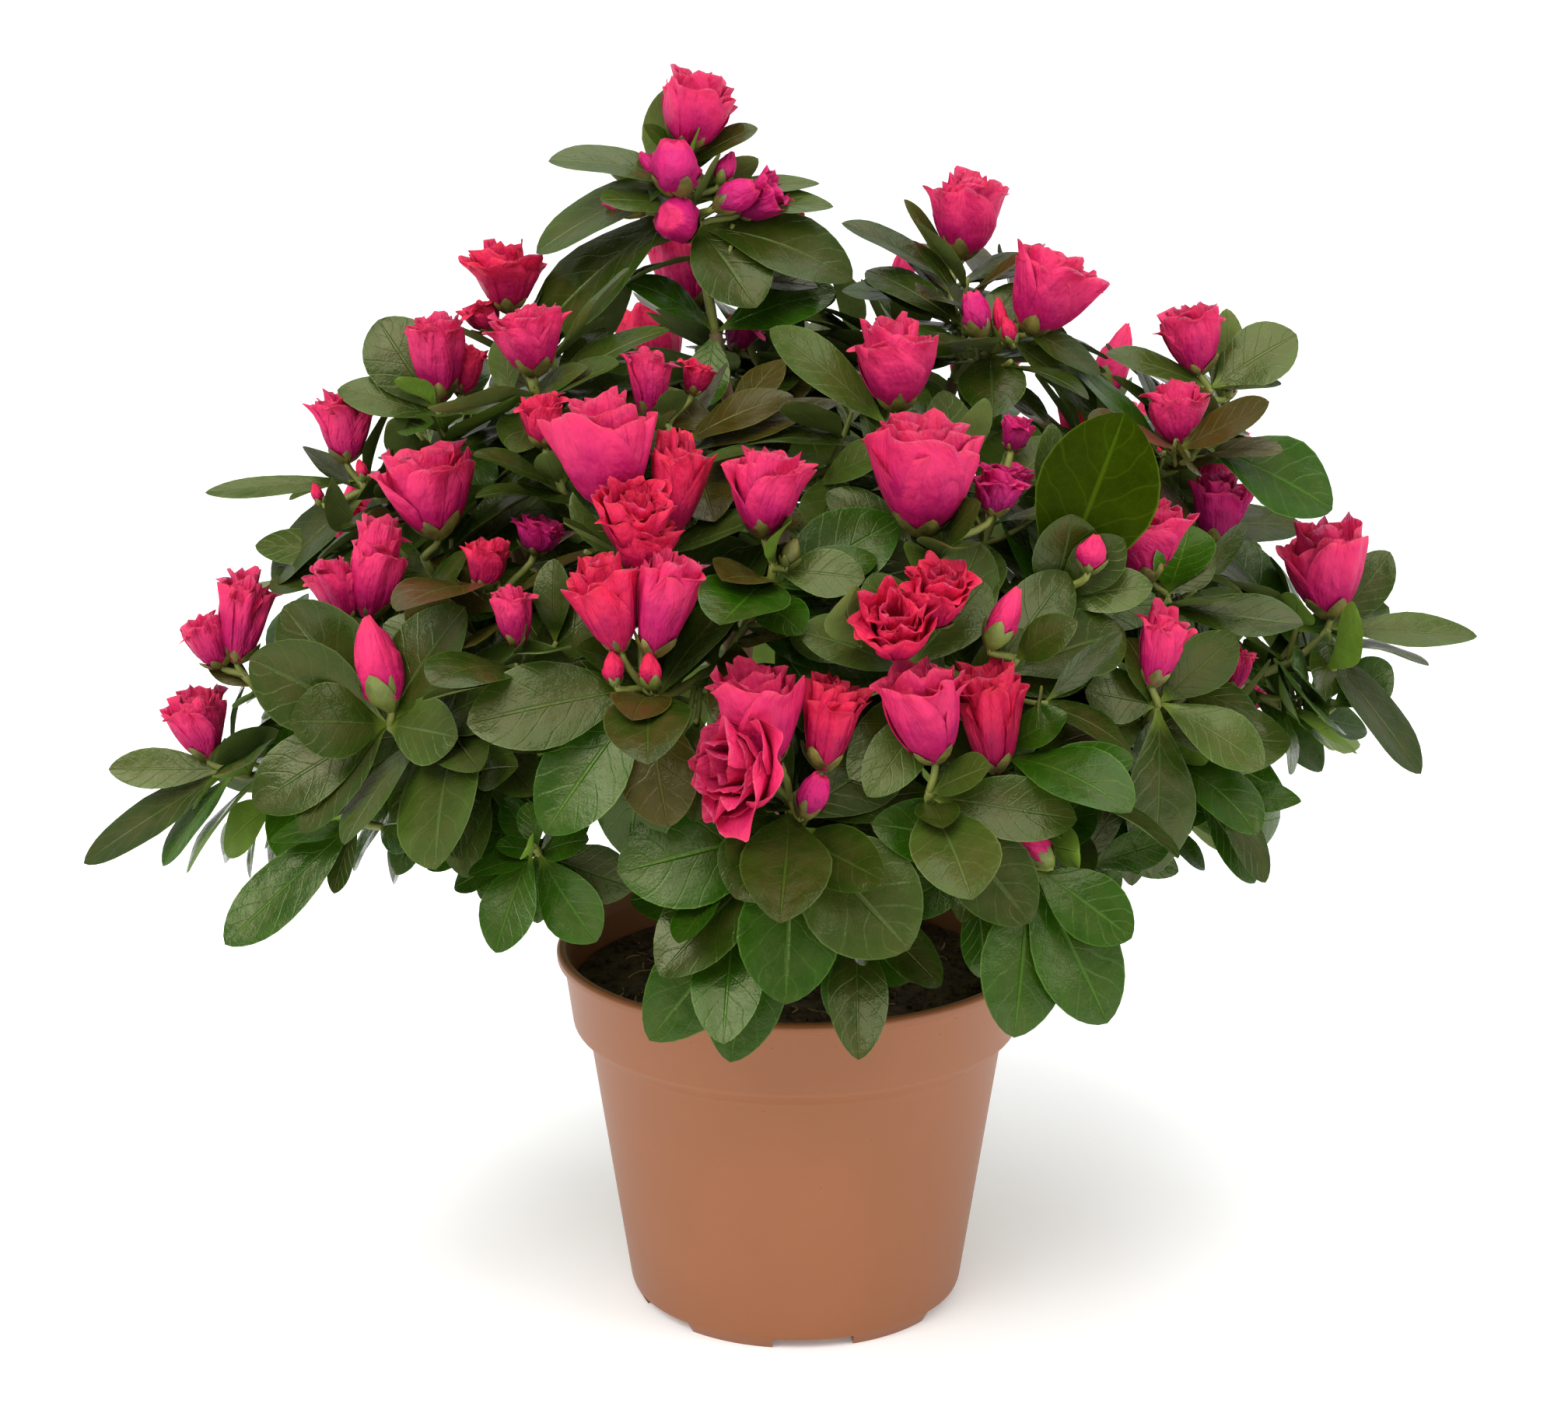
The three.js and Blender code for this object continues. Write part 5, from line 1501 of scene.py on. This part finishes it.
def lay_given(shoot, rows):
    """Leaves given one by one, each where the plant bears it."""
    light = shoot["lean"] * LEAF_FACING + shoot["out"] * LEAF_FACING + TOWARDS_VIEWER * LEAF_FACING
    for down, right, up, front, breadth, bend, tint in rows:
        root = shoot["curve"].at(shoot["curve"].down(down))
        way = np.array([right, -front, up], float)
        face = rolled_face(light, unit(way), 0)
        length = np.linalg.norm(way)
        shape = (root, unit(way), face, length, length * breadth, bend,
                 leaf_chance.uniform(*GIVEN_FOLDS), leaf_chance.uniform(*GIVEN_TWISTS))
        lay_leaf(root, *blade(*shape), blade_tree(*blade(*shape, rows=TEST_ROWS))[1], tint)


def spray_tints(shoot):
    """The greens of one spray: bronze and grey high up, deeper and fresher low down."""
    chances = next(chances for least, chances in SPRAY_TINTS if shoot["tip"][2] > least)
    main, other = (TINT_NAMES[int(leaf_chance.choice(len(chances), p=chances))] for _ in range(2))
    return [main, main, main, other]


def leaf_share(shoot):
    """How long a shoot's leaves are, by its height and place."""
    high = max(shoot["tip"][2] - SHORT_FROM, 0) * SHORT_RATE
    return (1 - high) * SHORT_LEAVES.get(shoot["name"], 1)


def droop(shoot):
    """How many degrees further the leaves of a low shoot hang."""
    return min(max((DROOP_FROM - shoot["tip"][2]) * DROOP_RATE, 0), MOST_DROOP)


def leaf_count(shoot):
    """How many leaves the source gives a shoot."""
    return int((shoot["curve"].length - FIRST_LEAF) / LEAF_EVERY)


upward = sorted(shoots, key=lambda shoot: shoot["tip"][2])
for shoot in upward:
    shoot["tints"] = spray_tints(shoot)

# The leaves that stand out at the front
for shoot in upward:
    lay_given(shoot, FRONT_LEAVES.get(shoot["name"], []))

# The source's own leaves, in its order and with its draws
for number in range(max(leaf_count(shoot) for shoot in shoots)):
    for shoot in upward:
        if number >= leaf_count(shoot):
            continue
        tilt = LEAF_TILT + LEAF_TILT_STEP * number + LEAF_TILT_CHANCE * (shoot["chance"]() - 0.5)
        length = LEAF_LENGTH * (LEAF_LEAST + LEAF_GROWTH * number + LEAF_CHANCE * shoot["chance"]())
        root = shoot["curve"].at(shoot["curve"].down(FIRST_LEAF + number * LEAF_EVERY))
        grow_leaf(shoot, root, shoot["lean"], tilt + droop(shoot), shoot["turn"] + number * GOLDEN_ANGLE,
                  length * leaf_share(shoot), shoot["tints"][number % 4])

# Between them the rosettes fill up: small rounded upright leaves at the flower's foot, longer ones below
for step in range(ROSETTE_LEAVES):
    rise = min(step / ROSETTE_YOUNG, 1)
    distance = ROSETTE_FIRST + step * ROSETTE_EVERY
    for shoot in upward:
        closed = step < CLOSED_STEPS and shoot["name"] in CLOSED_SHOOTS
        if closed or distance > shoot["curve"].length - 4:
            continue
        tilt = ROSETTE_TILT + ROSETTE_OPENING * rise + ROSETTE_TILT_STEP * step
        tilt += leaf_chance.uniform(-ROSETTE_TILT_CHANCE, ROSETTE_TILT_CHANCE) + droop(shoot) * rise
        length = (ROSETTE_LENGTH + ROSETTE_GROWTH * rise) * leaf_chance.uniform(*ROSETTE_LENGTHS)
        turn = shoot["turn"] + GOLDEN_ANGLE / 2 + step * GOLDEN_ANGLE
        turn += leaf_chance.uniform(-ROSETTE_TURN_CHANCE, ROSETTE_TURN_CHANCE)
        root = shoot["curve"].at(shoot["curve"].down(distance))
        grow_leaf(shoot, root, shoot["lean"], tilt, turn, length * leaf_share(shoot),
                  shoot["tints"][(step + 1) % 4], ROSETTE_TRIES, LEAF_WIDTH + ROSETTE_ROUNDING * (1 - rise))

# Side twigs with a few smaller leaves fill the crown behind the rosettes
for shoot in upward:
    for number in range(SIDE_TWIGS):
        share = shoot["curve"].down(shoot["curve"].length * leaf_chance.uniform(*SIDE_TWIG_PLACES))
        start = shoot["curve"].at(share)
        heading = tilted(shoot["curve"].heading(share), SIDE_TWIG_TILT, leaf_chance.uniform(0, 360))
        length = leaf_chance.uniform(*SIDE_TWIG_LENGTHS)
        end = start + unit(heading + shoot["lean"] * 0.3) * length
        if outside_box(end) or end[2] < SIDE_TWIG_LOWEST:
            continue
        curve = Swing(start, heading, end, unit(heading + shoot["lean"]))
        side_shoot = {"out": outward(end)}
        axis = curve.heading(1)
        grown = 0
        for leaf in range(SIDE_LEAVES):
            root = curve.at(curve.down(SIDE_LEAF_FIRST + leaf * SIDE_LEAF_EVERY))
            tilt, turn = SIDE_LEAF_TILT + SIDE_LEAF_TILT_STEP * leaf, leaf * GOLDEN_ANGLE + 40 * number
            grown += grow_leaf(side_shoot, root, axis, tilt, turn, leaf_chance.uniform(*SIDE_LEAF_LENGTHS),
                               shoot["tints"][leaf % 4], SIDE_LEAF_TRIES)
        if grown:
            add_twig(curve, SIDE_TWIG_RADIUS, SIDE_TWIG_RADIUS * 0.8, GREEN_WOOD, TWIG_RINGS // 2)

# The last leaves roof the crown's open middle, seen from above
for shoot in upward:
    lay_given(shoot, TOP_LEAVES.get(shoot["name"], []))


def leaf_marks_group():
    """What a leaf shows on its own length and breadth: veins, a fine pale edge and the relief between."""
    group, given = start_group("leaf_marks", Vein_Pairs="Float")
    place = add_node(group, "TexCoord").outputs
    parts = add_node(group, "SeparateXYZ", {0: place["UV"]}).outputs
    across = add_maths(group, "ABSOLUTE", add_maths(group, "SUBTRACT", parts["X"], 0.5))
    midrib = add_step(group, across, 0.008, 0.03, 1, 0)
    wander = add_noise(group, place["Object"], 130, 1)
    swept = add_maths(group, "MULTIPLY_ADD", across, -0.5, parts["Y"])
    bent = add_maths(group, "MULTIPLY_ADD", wander, 0.12, swept)
    folded = add_maths(group, "PINGPONG", add_maths(group, "MULTIPLY", bent, given["Vein Pairs"]), 0.5)
    side_veins = add_step(group, folded, 0, 0.08, 0.42, 0)
    net = add_node(group, "TexVoronoi", {"Vector": place["Object"], "Scale": 420}, feature="DISTANCE_TO_EDGE")
    net_lines = add_range(group, net.outputs["Distance"], 0, 0.07, 0.15, 0)
    veins = add_maths(group, "MAXIMUM", add_maths(group, "MAXIMUM", midrib, side_veins), net_lines)
    edge = add_step(group, across, 0.475, 0.5)
    foot = add_step(group, parts["Y"], 0.03, 0.2, 1, 0)
    middle = add_step(group, across, 0.16, 0.44, 1, 0)
    dip = add_maths(group, "MULTIPLY_ADD", side_veins, 0.45, midrib)
    pucker = add_maths(group, "MULTIPLY", add_noise(group, place["Object"], 190, 2), 1.7)
    height = add_maths(group, "SUBTRACT", pucker, dip)
    return finish_group(group, Veins=veins, Edge=edge, Foot=foot, Middle=middle, Height=height)


leaf_marks = leaf_marks_group()


def leaf_material(name, shade, vein, brown, roughness, shine=LEAF_SHINE):
    """One green of leaf skin: veins and foot paler, a fine pale edge, and an uneven waxy shine."""
    material, tree, shader = new_material(name, Specular_IOR_Level=shine, Specular_Tint=(1, 1, 0.6, 1))
    place = add_node(tree, "TexCoord").outputs["Object"]
    marks = add_node(tree, "Group", {"Vein Pairs": 7}, node_tree=leaf_marks).outputs
    tint = add_uneven(tree, place, 150, 0.22, shade)
    patch = add_range(tree, tint["Cloud"], 0.38, 0.56, 0, brown)
    colour = add_blend(
        tree, add_maths(tree, "MULTIPLY", patch, marks["Middle"]), tint["Colour"], linear(*BROWN_MIDDLE),
    )
    pale_edge = [value + EDGE_PALER for value in vein]
    for mark, strength, over in (("Veins", 0.48, vein), ("Edge", 0.4, pale_edge), ("Foot", 0.6, PALE_FOOT)):
        colour = add_blend(tree, add_maths(tree, "MULTIPLY", marks[mark], strength), colour, linear(*over))
    tree.links.new(colour, shader.inputs["Base Color"])
    waxy = add_range(tree, tint["Cloud"], 0.3, 0.7, roughness - 0.06, roughness + 0.1)
    tree.links.new(waxy, shader.inputs["Roughness"])
    skin = add_maths(tree, "MULTIPLY_ADD", add_noise(tree, place, 1900, 2), 0.35, marks["Height"])
    add_bump(tree, shader, skin, LEAF_RELIEF, 0.7)
    return material


leaf_skins = [
    leaf_material(f"{name}_leaf", *look, LEAF_ROUGHNESS, DULL_TINTS.get(name, LEAF_SHINE))
    for name, look in LEAF_TINTS.items()
] + [
    leaf_material(name, shade, [value + UNDER_VEIN_PALER for value in shade], 0, UNDER_ROUGHNESS)
    for name, shade in UNDER_TINTS.items()
]
foliage_nodes = [name for name in node_names if name.startswith("foliage_")]
foliage_pieces.append(twigs.make("twigs", twig_skins))
foliage_pieces += [batch.make(f"leaves_{side}", leaf_skins) for side, batch in leaves.items()]
for piece in foliage_pieces:
    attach(piece, "root")
    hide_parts(*foliage_nodes)
